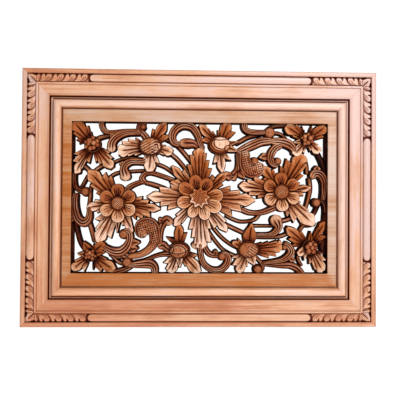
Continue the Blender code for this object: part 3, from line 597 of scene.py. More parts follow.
# the routes on each level: x, z and the band's width at each of their points
ROUTES = {
    "low": [
        [(-214, 114, 9), (-200, 121.5, 8), (-184, 125, 6), (-168, 127, 5)],
        [(-190, 62, 4.5), (-170, 73.5, 4.5), (-145, 80.5, 4.5), (-114, 78, 4.5)],
        [(-157, 52, 5), (-171, 48.5, 5), (-188, 37, 5)],
        [(-149, 53, 4), (-127, 54.5, 4), (-111, 54.5, 4.5), (-93, 48.5, 5)],
        [(-113, 32, 6), (-93, 27, 7), (-67, 18, 7)],
        [(-74, 121, 5.5), (-48, 107, 6), (-28, 86, 6), (-11, 64, 6)],
        [(-68, 95, 5.5), (-47, 79.5, 6), (-22, 50, 6)],
        [(-93, 71, 5), (-69, 61.5, 5), (-44, 43, 5)],
        [(70, 110, 6), (84, 118, 7), (100, 126, 7), (138, 135, 5)],
        [(141, 131, 5.5), (155, 134, 5), (167, 129, 5), (177, 116, 5.5)],
        [(211, 88, 5.5), (216, 69, 6), (217, 50, 8)],
        [(221, 45, 8), (223, 17, 8), (214, -20, 6)],
        [(231, 104, 9.5), (242, 86, 9), (251, 62, 9), (254, 34, 8)],
        [(242, -7, 7), (230, -31, 7), (209, -54, 6.5), (200, -68, 6)],
        [(256, 3, 10), (256, -30, 12), (252.5, -64, 10.5)],
        [(252, -78, 10), (249, -94, 12), (252, -112, 10)],
        [(203, -49, 5), (218, -53, 6), (236, -49, 6)],
        [(107, -77, 5), (144, -77.5, 5), (168, -74, 6), (187, -64, 6)],
        [(154, -47.5, 6), (176, -42, 7), (198, -34, 7)],
        [(100, -54.5, 5), (125, -54.5, 3.5), (150, -54.5, 3.5)],
        [(50, -33, 5), (77, -45, 4.5), (97, -45.5, 4.5), (112, -41, 5.5), (121, -30, 6.5)],
        [(50, -51, 6), (72, -61.5, 6), (91, -70, 6)],
        [(11, -55, 5), (28, -81, 4.5), (48, -103.5, 4.5), (74, -117, 5)],
        [(23, -54, 5), (43, -77, 4.5), (64, -93, 4.5), (85, -102.5, 5)],
        [(-182, -108, 6), (-171, -121, 6), (-160, -130, 6), (-146, -133, 6)],
        [(-182, -112, 6), (-168, -118, 6), (-150, -119, 6)],
        [(-249, -46, 8), (-243.5, -73, 7.5), (-237, -92, 8), (-224, -109, 8.5)],
        [(-223, -43, 7), (-217, -63, 8), (-209, -90, 9)],
        [(-217, 30, 5), (-220, 14, 5.5), (-220.5, -1, 6), (-224, -25, 6)],
        [(-241, 15, 5), (-224, 46, 5.5)],
        [(-221, 45, 6.5), (-205, 59, 6.5), (-186, 70, 6.5)],
        [(-240, 70, 8), (-222, 54, 7)],
    ],
    "middle": [
        [(-104, 110, 12), (-111, 124, 11), (-120, 134, 9), (-124, 143, 8), (-118, 150, 7),
         (-108, 149, 7)],
        [(-52, 36, 6.5), (-79, 45.5, 6.5), (-99, 51, 7), (-111, 48.5, 8), (-117, 39, 9),
         (-110, 30, 10)],
        [(-155, 4, 8), (-144, 20, 8.5), (-131, 28, 7.5), (-114, 34, 6.5)],
        [(-4, 103, 8), (-14, 110, 14), (-27, 111, 18), (-43, 111, 12)],
        [(136, 140, 6), (142, 145, 5.5), (154, 148, 5), (173, 149, 5)],
        [(74, 92, 5), (75, 73, 5), (74, 58, 9), (67, 46, 15), (62, 38, 20)],
        [(236, -4, 6), (246, -3, 6.5), (252, -12, 6.5), (254, -28, 6.5)],
        [(161, -12.5, 11), (143, -20.5, 10.5), (128, -26.5, 8.5), (112, -28.5, 7.5), (96, -26.5, 8.5),
         (82, -20, 8)],
        [(122, -131, 5), (163, -133.5, 10), (183, -134, 12), (198, -141, 12), (208, -154, 12)],
        [(111, -115, 5), (124, -129, 5.5), (127, -140, 5.5), (119, -150, 6)],
        [(214, -105, 5), (199, -114, 5), (200, -124, 4.5), (207, -135, 4)],
        [(7, -92, 8), (17, -109, 9), (27, -114, 8.5), (38, -114, 8)],
        [(2, -90, 10), (-7, -92, 13), (-14, -100, 16)],
        [(-80, -93, 8), (-79, -70, 8), (-76, -55, 12), (-67, -43, 14), (-57, -53, 15)],
        [(-84, -99, 12), (-74, -94, 13), (-67, -100, 12), (-54, -105, 10)],
        [(-54, -113, 10), (-69, -112, 8), (-88, -116, 5.5), (-110, -125, 5.5), (-134, -130, 6)],
        [(-158, -108, 14), (-148, -115, 11), (-136, -117, 8)],
        [(-140, -126, 8), (-138, -136, 8.5), (-150, -143, 8.5), (-175, -150, 9)],
        [(-251, 51, 8), (-251, 31, 7.5), (-246, 18, 7.5), (-232, 11, 8)],
    ],
    "high": [
        [(-198, 155, 9), (-197, 142, 9), (-190, 133, 8), (-177, 131, 6.5), (-153, 134, 5.5),
         (-125, 135, 5)],
        [(-119, 130.5, 8), (-147, 130, 10), (-167, 122, 13), (-177, 109, 15), (-177, 91, 18)],
        [(-109, 72, 10), (-135, 73, 11), (-148, 67.5, 13), (-153, 57, 14), (-150, 45, 20),
         (-149, 34, 23)],
        [(-41, 107, 8), (-53, 112, 12), (-57, 125, 13), (-50, 139, 14), (-35, 147, 14), (-17, 143, 13),
         (-6, 128, 11), (0, 109, 9), (6, 98, 9)],
        [(89, 157, 12), (88, 145, 11), (94, 137, 9.5), (108, 134, 9), (131, 134, 8)],
        [(73, 93, 8), (89, 101, 13.5), (105, 108.5, 16), (123, 115.5, 14.5), (145, 117, 11)],
        [(141, 116, 11), (157, 116, 14), (172, 113, 16.5), (183, 107, 15), (191, 95, 8)],
        [(165, 109, 10), (152, 104, 13), (143, 92, 13.5), (141, 80, 12.5), (146, 70, 10),
         (157, 67, 7.5)],
        [(225, 41, 12), (230, 51.5, 14), (242, 50, 14.5), (250, 37, 14), (250, 19, 10.5), (247, -3, 8)],
        [(152, -31.5, 20), (153, -43, 23), (158, -56, 14), (151, -67, 10.5), (138, -72, 7),
         (112, -71.5, 5)],
        [(168, -90, 9), (178, -94, 11), (184, -106, 13.5), (175, -117.5, 11), (158, -124.5, 7.5),
         (124, -129, 5)],
        [(0, -90, 9), (2.5, -116, 9), (9, -132, 9.5), (23, -142.5, 10), (38.5, -144, 11),
         (51, -136, 12), (57, -123, 11.5), (53, -111.5, 9.5), (44, -109.5, 7)],
        [(-145, -134, 7), (-125, -132.5, 12), (-107, -131, 16), (-96, -133, 15.5), (-90, -141, 13),
         (-90, -153, 11)],
        [(-151, -75, 8.5), (-145.5, -66, 12), (-140, -74, 12.5), (-141, -87, 13), (-148, -100, 16),
         (-160, -107.5, 16.5), (-176, -106, 14), (-193, -96, 8.5)],
        [(-247, 10, 9), (-250, -9, 13), (-248, -28, 14.5), (-242, -43, 15), (-231, -49, 16.5),
         (-221, -39, 12), (-221, -17, 6.5)],
    ],
    "bud": [
        [(90, 98, 20), (89, 80, 20.5), (93, 65, 25), (103, 57, 28), (115, 61, 28), (120, 74, 20)],
        [(-106, -73, 12), (-117, -68, 22), (-114, -56, 28), (-99, -55, 27), (-91, -70, 22),
         (-92, -88, 16.5), (-103, -103.5, 12.5), (-120, -113, 10.5), (-143, -117, 9)],
    ],
}

# what the sweep is given on each level: depth of the top, how far it is crowned, the ridges
# across it, the depth of its grooves, its stain and tone, half the width from which it is
# hatched, and the spacing of the rows along it. The lower levels are given more stain and a darker
# tone as painted shade.
LEVEL_INPUTS = ("Top", "Crown", "Ridges", "Groove", "Shade_and_polish", "Tone", "Hatched from", "Spacing")
LEVELS = {
    "low": (13, 1.8, 1, 0, 0.42, 0.30, 99, 2.3),
    "middle": (20, 2.0, 2, 1.6, 0.24, 0.34, 99, 1.4),
    "high": (24.5, 2.4, 3, 1.7, 0.18, 0.46, 99, 1.3),
    "bud": (26, 4.0, 0, 0, 0.10, 0.60, 6.3, 0.8),
}
ROUND_END = 1.75             # grooves of a broad band run out this many half widths from its end
HATCH_PITCH, HATCH_LINE, HATCH_LEAN = 2.2, 0.95, 0.25
HATCH_EDGE, RIM_PLACE = 0.74, 0.78     # shares of half the width
HATCH_DEPTH, RIM_DEPTH, END_FALL = 0.8, 0.9, 2.2
EDGE_SPREAD, WALL_SPREAD = 1.3, 1.2    # how far a wall stands out close below the top, and then further
BACK_GAP, BACK_STEPS = 0.05, 0.4       # the backs differ by up to this, so that none lie in one plane
FRAME_SHADOW_FROM, FRAME_SHADOW_OVER = 224, 14         # painted shadow of the frame on the scrolls near the panel's ends, from this x


def band_section():
    """The closed section that is swept. It reaches from -1 to 1 across, and down tells how far
    down the wall a point lies, from 0 at the top to 1 at the back of the board."""
    top = np.sin(np.linspace(-math.pi / 2, math.pi / 2, 25)).tolist()
    across = top + [1, 1, 1, 1, 0.97, -0.97, -1, -1, -1, -1]
    down = [0] * len(top) + [0.05, 0.16, 0.5, 1, 1, 1, 1, 0.5, 0.16, 0.05]
    ring = [(i, (i + 1) % len(across)) for i in range(len(across))]
    mesh = bpy.data.meshes.new("band_section")
    mesh.from_pydata([(place, 0, 0) for place in across], ring, [])
    mark_points(mesh, across=across, down=down)
    return new_object("band_section", mesh)


def new_tree(name, inputs):
    """A node tree that is given a geometry and some more inputs, and the wires from them."""
    tree = bpy.data.node_groups.new(name, "GeometryNodeTree")
    for label, kind in [("Geometry", "Geometry")] + inputs:
        tree.interface.new_socket(label, in_out="INPUT", socket_type="NodeSocket" + kind)
    tree.interface.new_socket("Geometry", in_out="OUTPUT", socket_type="NodeSocketGeometry")
    return tree, Wire(tree).node("NodeGroupInput")


def keep(geometry, name, value, kind="FLOAT"):
    """The geometry with a value kept on each of its points under a name."""
    return geometry.node("GeometryNodeStoreNamedAttribute", {"data_type": kind},
                         {"Geometry": geometry, "Name": name, "Value": value})


def kept(wire, name, kind="FLOAT"):
    """The value that the points carry under a name."""
    return wire.node("GeometryNodeInputNamedAttribute", {"data_type": kind}, {"Name": name})


def end_tree(geometry, wood):
    """Close a tree: its instances become mesh and take their wood."""
    geometry = geometry.node("GeometryNodeRealizeInstances", None, {"Geometry": geometry})
    geometry = geometry.node("GeometryNodeSetMaterial", None, {"Geometry": geometry, "Material": wood})
    geometry.node("NodeGroupOutput", None, {"Geometry": geometry})


def grown_mesh(holder, tree, values):
    """The mesh that a tree with these inputs makes of an object, which is then taken away."""
    work = holder.modifiers.new("work", "NODES")
    work.node_group = tree
    sockets = {item.name: item.identifier for item in tree.interface.items_tree if item.in_out == "INPUT"}
    for name, value in values.items():
        work[sockets[name]] = value
    mesh = bpy.data.meshes.new_from_object(holder.evaluated_get(bpy.context.evaluated_depsgraph_get()))
    bpy.data.objects.remove(holder)
    return mesh


def scroll_tree():
    """Geometry nodes that sweep the section along each route of a drawing in the XY plane, in
    millimetres, groove or hatch the top, round the ends, and stand the result in the panel."""
    inputs = [("Section", "Object"), ("Wood", "Material")] + [(name, "Float") for name in LEVEL_INPUTS]
    tree, given = new_tree("carved_scroll", inputs)

    # smooth routes with even rows, which know how far they are along and from the ends
    routes = given.node("GeometryNodeCurveSplineType", {"spline_type": "CATMULL_ROM"}, {"Curve": given})
    routes = given.node("GeometryNodeSetSplineResolution", None, {"Geometry": routes, "Resolution": 10})
    routes = given.node("GeometryNodeResampleCurve", {"mode": "LENGTH"},
                        {"Curve": routes, "Length": given.also("Spacing")})
    routes = given.node("GeometryNodeSetCurveNormal", {"mode": "Z_UP"}, {"Curve": routes})
    reach = given.node("GeometryNodeSplineParameter", output="Length")
    half = given.node("GeometryNodeInputRadius")
    to_end = given.math("MINIMUM", reach, given.node("GeometryNodeSplineLength") - reach)
    rounding = (1 - to_end / half).between()
    routes = keep(routes, "reach", reach)
    routes = keep(routes, "axis", given.node("GeometryNodeInputPosition"), "FLOAT_VECTOR")
    routes = keep(routes, "half", half)
    routes = keep(routes, "roundness", given.math("SQRT", 1.001 - rounding * rounding))
    routes = keep(routes, "from_end", to_end / half)
    routes = keep(routes, "number", given.node("GeometryNodeInputIndex"))

    outline = given.node("GeometryNodeObjectInfo", None, {"Object": given.also("Section")}, "Geometry")
    outline = given.node("GeometryNodeMeshToCurve", None, {"Mesh": outline})
    bands = given.node("GeometryNodeCurveToMesh", None, {
        "Curve": routes, "Profile Curve": outline, "Scale": kept(given, "half") * kept(given, "roundness"),
        "Fill Caps": True})
    across, down, half, reach = [kept(given, name) for name in ("across", "down", "half", "reach")]

    # ridges and grooves: a broad end is smooth and pale, and the grooves of a narrow one run out
    # to its tip
    wave = given.math("SINE", (across + 1) * given.also("Ridges") * (math.pi / 2)).unsigned()
    broad = ((half - 5.0) / 2.0).between()
    shaft = 1 - (ROUND_END - kept(given, "from_end")).between() * broad
    groove = (1 - wave ** 0.75) * shaft * (8.5 - across.unsigned() * 10).between()

    # the fat end is hatched inside a rim
    fat = ((half - given.also("Hatched from")) / 1.5).between()
    drawn = given.node("ShaderNodeSeparateXYZ", None, {"Vector": given.node("GeometryNodeInputPosition")})
    lines = [1 - given.math("PINGPONG", place, HATCH_PITCH) / HATCH_LINE
             for place in (drawn + drawn.also("Y") * HATCH_LEAN, drawn.also("Y") - drawn * HATCH_LEAN)]
    inner = ((HATCH_EDGE - across.unsigned()) * 12).between()
    lattice = given.math("MAXIMUM", *lines).between() * (fat * inner)
    rim = (1 - (across.unsigned() - RIM_PLACE).unsigned() * 9).between() * fat

    # the top, the back and the walls between, which spread towards the back
    top = given.also("Top") - given.also("Crown") * across * across - given.also("Groove") * groove
    top = top - HATCH_DEPTH * lattice - RIM_DEPTH * rim - END_FALL * (1 - kept(given, "roundness"))
    back = BOARD_BACK + BACK_GAP + given.math("PINGPONG", kept(given, "number") * 0.0031, BACK_STEPS)
    depth = top * (1 - down) + back * down
    wall = (down * 9).between()
    spot = given.node("GeometryNodeInputPosition")
    outwards = spot
    for operation, sockets in (("SUBTRACT", {1: kept(given, "axis", "FLOAT_VECTOR")}),
                               ("NORMALIZE", {}),
                               ("SCALE", {"Scale": wall * EDGE_SPREAD + down * WALL_SPREAD}),
                               ("ADD", {1: spot})):
        outwards = given.node("ShaderNodeVectorMath", {"operation": operation}, {0: outwards, **sockets})
    spread = given.node("ShaderNodeSeparateXYZ", None, {"Vector": outwards})
    stood = given.node("ShaderNodeCombineXYZ", None, {
        "X": spread * (0.001 * FIT), "Y": depth * -0.001,
        "Z": spread.also("Y") * (0.001 * FIT) + MIDDLE_Z})

    # dark polishing with painted shade in the grooves, along the edges and down the walls; the sawn back is
    # bare
    edge = ((across.unsigned() - 0.80) * 5).between()
    stain = given.also("Shade_and_polish") * (0.5 + 0.8 * across * across + 1.1 * edge)
    stain = stain + 0.85 * (groove * given.also("Groove")).between() + 0.9 * lattice + 0.85 * rim
    stain = given.math("MAXIMUM", stain, 0.55 * (down * 99).between() + 0.45 * wall)
    # painted shadow of the frame on the scrolls near the ends of the panel
    stain = stain + 1.1 * given.also("Shade_and_polish") * ((drawn.unsigned() - FRAME_SHADOW_FROM) / FRAME_SHADOW_OVER).between()
    behind = ((down - 0.99) * 999).between() * ((0.985 - across.unsigned()) * 999).between()
    bands = keep(bands, "stain", stain.between() * (1 - behind) + 0.25 * behind)

    # painted highlight on the crests of the ridges: the one that faces the light is painted palest, and all
    # of them pale and darken along the way
    painted_ridge_light = 0.90 + 0.50 * given.math("SINE", reach * 0.11 + across * 1.7)
    tone = given.also("Tone") + 0.55 * (wave ** 3) * shaft * painted_ridge_light + 0.45 * (1 - shaft)
    bands = keep(bands, "tone", tone - 0.2 * lattice - 0.2 * shaft)
    strokes = given.node("ShaderNodeCombineXYZ", None, {
        "X": across * half, "Y": reach, "Z": given.math("SNAP", kept(given, "number"), 40.0)})
    bands = keep(bands, "flow", strokes, "FLOAT_VECTOR")
    bands = given.node("GeometryNodeSetPosition", None, {"Geometry": bands, "Position": stood})
    end_tree(bands, given.also("Wood"))
    return tree


CARVING_COLOURS = (
    (0.70, 0.47, 0.35),          # pale
    (0.52, 0.245, 0.115),        # gold
    (0.345, 0.092, 0.018),       # warm
    (0.120, 0.014, 0.0022),      # rust
    (0.008, 0.0005, 0.0001),     # deep
)
# the scrolls and seeds kept more of the dark polish
DARK_COLOURS = (
    (0.60, 0.355, 0.225),        # pale
    (0.39, 0.150, 0.060),        # gold
    (0.235, 0.053, 0.010),       # warm
    (0.095, 0.010, 0.002),       # rust
    (0.006, 0.0004, 0.0001),     # deep
)
carving_wood = polished_wood("carving_wood", CARVING_COLOURS, figure=0.3, gloss=0.15, tooled=1.0)
dark_wood = polished_wood("dark_wood", DARK_COLOURS, roughness=0.40, figure=0.35, gloss=0.25, tooled=1.0)
section = band_section()
sweep_tree = scroll_tree()
for level, values in LEVELS.items():
    drawing = bpy.data.curves.new(level + "_routes", "CURVE")
    drawing.dimensions = "3D"
    for route in ROUTES[level]:
        spline = drawing.splines.new("POLY")
        spline.points.add(len(route) - 1)
        for point, (x, z, width) in zip(spline.points, route):
            point.co = (x, z, 0, 1)
            point.radius = width / 2
    inputs = {"Section": section, "Wood": dark_wood, **dict(zip(LEVEL_INPUTS, map(float, values)))}
    mesh = grown_mesh(new_object(level + "_routes", drawing), sweep_tree, inputs)
    finish_mesh(level + "_scrolls", mesh, "carving", "carved_board")
bpy.data.objects.remove(section)


# ================================================================ carved board: leaves
# Serrated leaves spread behind every flower. Each has side lobes like saw teeth, a deep gouged
# midrib and a shallower cut from the flower towards each notch, darkened with polishing and painted
# shade, and pale edges, rubbed by polishing and with a painted highlight.

# the flowers: x and z of the middle, radius of the heart, and how pale the wood is
FLOWERS = {
    "top_left": (-216, 107, 15.5, -0.26),
    "top_left_bud": (-100, 103, 21, 0.12),
    "top_rose": (38, 107, 20, 0.05),
    "top_right": (215, 120, 14, -0.1),
    "main": (-2, 1, 14.5, 0.12),
    "left": (-164, -11, 13, 0.0),
    "right": (163, 14, 14.5, 0.05),
    "low_left": (-218, -113, 13, -0.28),
    "low_left_bud": (-41, -104, 19, -0.1),
    "low_right_bud": (97, -102, 19, -0.1),
    "low_right": (222, -97, 14, -0.15),
}
# the leaves of each flower: length from its middle, direction in degrees, half the width of the
# end lobe, and how far along and to the left the tips of the side lobes lie
LEAVES = {
    "top_left": [
        (57, 130, 13, ((20, -13), (33, -16), (14, 19), (26, 18), (40, 15))),
        (68, -120, 8, ((34, 13), (52, 7), (35, -21), (48, -15))),
        (62, -50, 10, ((34, 16), (46, 13), (31, -17), (40, -14))),
    ],
    "top_left_bud": [
        (65, -171, 12.5, ((26, -22), (41, -21.5), (54, -19), (33, 13), (46, 12))),
        (57, 59, 9.5, ((32, 15), (38, -22))),
        (45, -14, 9, ((26, 10), (28, -9))),
        (50, -92, 11, ((25, -13), (32, 18))),
    ],
    "top_rose": [
        (57, 135, 8.5, ((28, -11), (38, -8), (34, 20))),
        (49, 70, 10.5, ((27, 13), (36, -20))),
        (39, 11, 5, ()),
        (41, -17, 6.5, ()),
        (55, -84, 8, ((34, -15), (31, 20))),
    ],
    "top_right": [
        (51, 148, 11, ((12, -15), (22, -18), (35, -15), (28, 9))),
        (46, 35, 10, ((24, 17), (31, -14))),
        (28, -167, 4.5, ()),
        (41, -130, 9, ((24, 13), (26, -8))),
        (36, -45, 9, ((22, 10), (20, -10))),
    ],
    "main": [
        (100, 91, 10.5, ((66, 22), (85, 17), (58, -25), (74, -20), (88, -15))),
        (113, -2, 12, ((60, 25), (80, 18), (66, -34), (84, -23))),
        (77, 43, 7.5, ((50, 15), (52, -12))),
        (104, 179, 10.5, ((56, -25), (79, -20), (61, 24), (76, 17))),
        (85, 131, 7.5, ((61, 23), (61, -14))),
        (75, -132, 8, ((55, -11), (59, 8))),
        (102, -87, 11, ((60, -23), (77, -18), (90, -14), (61, 20), (88, 19))),
        (88, -50, 7.5, ((69, 12), (65, -15))),
    ],
    "left": [
        (88, 132, 13, ((50, -26), (61, -21), (43, 18), (62, 17))),
        (62, -172, 8.5, ((44, -12), (42, 12))),
        (85, -7, 7.5, ((45, 19), (59, 14), (38, -26), (52, -24), (66, -19))),
        (87, -118, 12, ((48, -24), (63, -15), (66, 20))),
        (57, -91, 6.5, ()),
        (64, -62, 9, ((42, -12),)),
    ],
    "right": [
        (86, 172, 9.5, ((58, -23), (70, -15), (44, 18), (63, 15))),
        (63, 126, 9, ((46, -14), (42, 13))),
        (88, 60, 14, ((44, 27), (63, 24), (51, -22), (73, -17))),
        (61, 9, 6.5, ((40, 12), (43, -13))),
        (94, -45, 14.5, ((41, 14), (64, 14), (42, -25), (60, -24))),
    ],
    "low_left": [
        (36, 41, 9, ((17, 11),)),
        (30, 12, 5, ()),
        (28, 118, 7, ()),
        (24, 178, 5, ()),
        (46, -139, 9, ((31, -10), (30, 17))),
        (57, -33, 11, ((31, 10), (20, -22), (36, -17))),
    ],
    "low_left_bud": [
        (51, 92, 8.5, ((26, 24), (33, -15))),
        (48, -110, 8.5, ((34, -20), (44, -12), (28, 10))),
        (60, -48, 11.5, ((31, 20), (31, -12))),
        (34, -88, 6, ()),
    ],
    "low_right_bud": [
        (53, 83, 13, ()),
        (35, 157, 6, ((26, -11),)),
        (50, -112, 9, ((27, -24), (40, -17), (31, 11))),
        (68, 6, 11.5, ((28, 10), (41, 10.5), (58, 11), (39, -20), (54, -18))),
        (33, -68, 10, ()),
    ],
    "low_right": [
        (62, 140, 9.5, ((30, 22), (43, 15), (35, -14))),
        (31, 88, 4, ()),
        (60, 60, 7, ((42, 6), (22, -17), (35, -17))),
        (54, -62, 10.5, ((23, 17), (37, 16), (16, -14), (28, -16), (44, -12))),
        (29, -152, 7, ((22, 17),)),
    ],
}

# small leaves that spring from a scroll: x and z of the root and of the tip, width at the root
LOBES = [
    (-170, 119, -180, 126, 11), (-148, 66, -161, 69, 10), (141, 88, 119, 83, 14), (70, 45, 48, 46, 15),
    (74, 60, 89, 41, 13), (236, 52, 235, 67, 13), (31, -113, 32, -104, 8), (-73, -52, -81, -40, 10),
    (-146, -91, -120, -88, 14), (-146, -103, -124, -100, 13), (-247, -30, -257, -48, 11),
    (176, -117, 192, -124, 10),
]
LOBE_TOP, LOBE_RISE, LOBE_TONE = 22, 0.5, 0.4
LEAF_TOP = 23.5
LEAF_RISE = 6.0              # from under the flower to the tip
LEAF_STEP = 0.5              # every third leaf lies deepest, two of these steps down
# painted light and shade: the leaves rise outwards, so those that point up face away from the light and are
# painted darkest, and those that point down are painted palest
LEAF_TONE, LEAF_PAINTED_SHADING, MOST_SHADED_WAY = 0.47, 0.42, 75
SWEPT = 0.5                  # the teeth of a leaf lean forward by this share of their width
LEAF_START, LEAF_END = 0.1, 1.03       # shares of its length; a leaf starts under the flower
EDGE_STEP = 0.6
EDGE_ROLL, EDGE_ROLL_WIDTH, FACE_SINK = 1.5, 2.2, 0.9
MIDRIB_DEPTH, SIDE_CUT_DEPTH, VEIN_DEPTH, PLEAT_DEPTH = 2.8, 2.3, 1.1, 0.7
WALL_TONE = 0.2
# the sawn walls: how far down from the top, how far outwards, and the stain there, which is painted shade
# with the dark polishing; their low tone is painted shade too
WALL = ((0.5, 0.35, 0.2), (1.8, 0.9, 0.75), (9, 1.9, 1), (99, 2.7, 1), (99, 2.62, 0.25))
# places across half a leaf, closest at its midrib and at its edge
ACROSS = np.array([0, 0.035, 0.08, 0.13, 0.19, 0.26, 0.33, 0.4, 0.48, 0.56, 0.64, 0.72, 0.8, 0.87, 0.93,
                   0.975, 1])


def smooth_line(points):
    """Close points along a Catmull-Rom curve through the given ones."""
    points = [np.array(point, float) for point in points]
    points = [2 * points[0] - points[1]] + points + [2 * points[-1] - points[-2]]
    found = []
    for a, b, c, d in zip(points, points[1:], points[2:], points[3:]):
        steps = max(2, round(np.linalg.norm(c - b) / EDGE_STEP))
        t = np.arange(steps)[:, None] / steps
        found.append(0.5 * (2 * b + (c - a) * t + (2 * a - 5 * b + 4 * c - d) * t ** 2
                            + (3 * b - a - 3 * c + d) * t ** 3))
    return np.concatenate(found + [points[-2][None]])


def leaf_side(length, half_width, lobes, blunt):
    """One edge of a leaf from root to tip, its notches, and the rows that its teeth need, all
    drawn before the teeth lean forward. Blunt goes from 0 for a pointed tip to 1 for a round one."""
    edge, notches, needed = [], [], []
    last = (length * LEAF_START, half_width * 0.45)
    for i, (along, across) in enumerate(lobes):
        ahead = lobes[i + 1][1] if i + 1 < len(lobes) else half_width
        deep = 0.66 * min(across, ahead * 1.25)
        along = max(along - SWEPT * across, last[0] + 0.04 * length)
        step = (along - last[0], across - last[1])
        edge.append(smooth_line([
            last,
            (last[0] + 0.36 * step[0], last[1] + 0.50 * step[1]),
            (last[0] + 0.76 * step[0], last[1] + 0.84 * step[1]),
            (along + 0.008 * length, across * 1.03),
        ]))
        nose = along + 0.014 * length
        edge.append(np.array([(nose, 0.93 * across), (nose + 0.009 * length, 0.5 * (across + deep))]))
        last = (along + 0.035 * length, deep)
        notches.append((last[0] + SWEPT * deep, deep))
        needed += [along, nose, last[0]]
    shoulder = last[0] + (length - last[0]) * 0.30
    rest = length - shoulder
    edge.append(smooth_line([
        last,
        (last[0] + 0.45 * (shoulder - last[0]), max(half_width * 0.84, last[1] + 0.5)),
        (shoulder, half_width),
        (shoulder + 0.30 * rest, half_width * (0.78 + 0.12 * blunt)),
        (shoulder + 0.66 * rest, half_width * (0.38 + 0.24 * blunt)),
        (shoulder + 0.90 * rest, half_width * (0.13 + 0.27 * blunt)),
        (length * LEAF_END, 0.12),
    ]))
    edge = np.concatenate(edge)
    edge[:, 0] = np.maximum.accumulate(edge[:, 0] + np.arange(len(edge)) * 1e-6)
    return edge, notches, needed


def widened(rows, half, out, places):
    """Half the width of an outline at the given places, once it has grown outwards by out."""
    fine = np.linspace(rows[0], rows[-1], 400)
    gap = places[:, None] - fine
    grown = np.interp(fine, rows, half) + np.sqrt(np.clip(out * out - gap * gap, 0, None))
    return np.where(np.abs(gap) <= out, grown, 0.05).max(axis=1)


def set_out(centre, degrees, rows, left, right, across, depth, stain, tone, flow, swept=0):
    """Give a leaf or petal its sloping sawn walls and its back, and set it in the panel. Swept
    is how far forward a place leans for its distance from the middle line."""
    back = BOARD_BACK + 0.25 + 0.2 * math.sin(degrees * 1.7 + centre[0])     # no two backs in one plane
    walls = []
    for half, way, column in ((left, 1, -1), (right, -1, 0)):
        steps = []
        for down, out, dark in WALL:
            places = rows + out * np.clip(1 + (rows - rows[-1]) / 8, 0, 1)
            wider = widened(rows, half, out, places)
            steps.append((places + swept * wider, way * wider, np.maximum(depth[:, column] - down, back),
                          np.full_like(rows, dark)))
        walls.append(np.array(steps[::way]).transpose(1, 2, 0))
    face = (rows[:, None] + swept * np.abs(across), across, depth, stain)
    along, across, depth, stain = [np.concatenate(parts, axis=1) for parts in zip(face, *walls)]
    tone = np.concatenate([tone, np.full((len(rows), 2 * len(WALL)), WALL_TONE)], axis=1)
    flow = np.concatenate([flow] + [np.repeat(flow[:, [i]], len(WALL), axis=1) for i in (-1, 0)], axis=1)
    turn = math.radians(degrees)
    x = centre[0] + along * math.cos(turn) - across * math.sin(turn)
    z = centre[1] + along * math.sin(turn) + across * math.cos(turn)
    return skin(stand(x * FIT, z * FIT, depth), np.clip(stain, 0, 1), np.clip(tone, -0.3, 1), flow)


def line_out(along, across, to_along, to_across, fades):
    """A straight line from a leaf's root towards a point: how far each place lies beside it, and
    how strong it is there. It fades in and out at four shares of the way to the point."""
    far = math.hypot(to_along, to_across)
    way_along, way_across = to_along / far, to_across / far
    out = along * way_along + across * way_across
    beside = across * way_along - along * way_across
    start, full, ebb, end = [share * far for share in fades]
    return beside, rise(out, start, full) * (1 - rise(out, ebb, end))


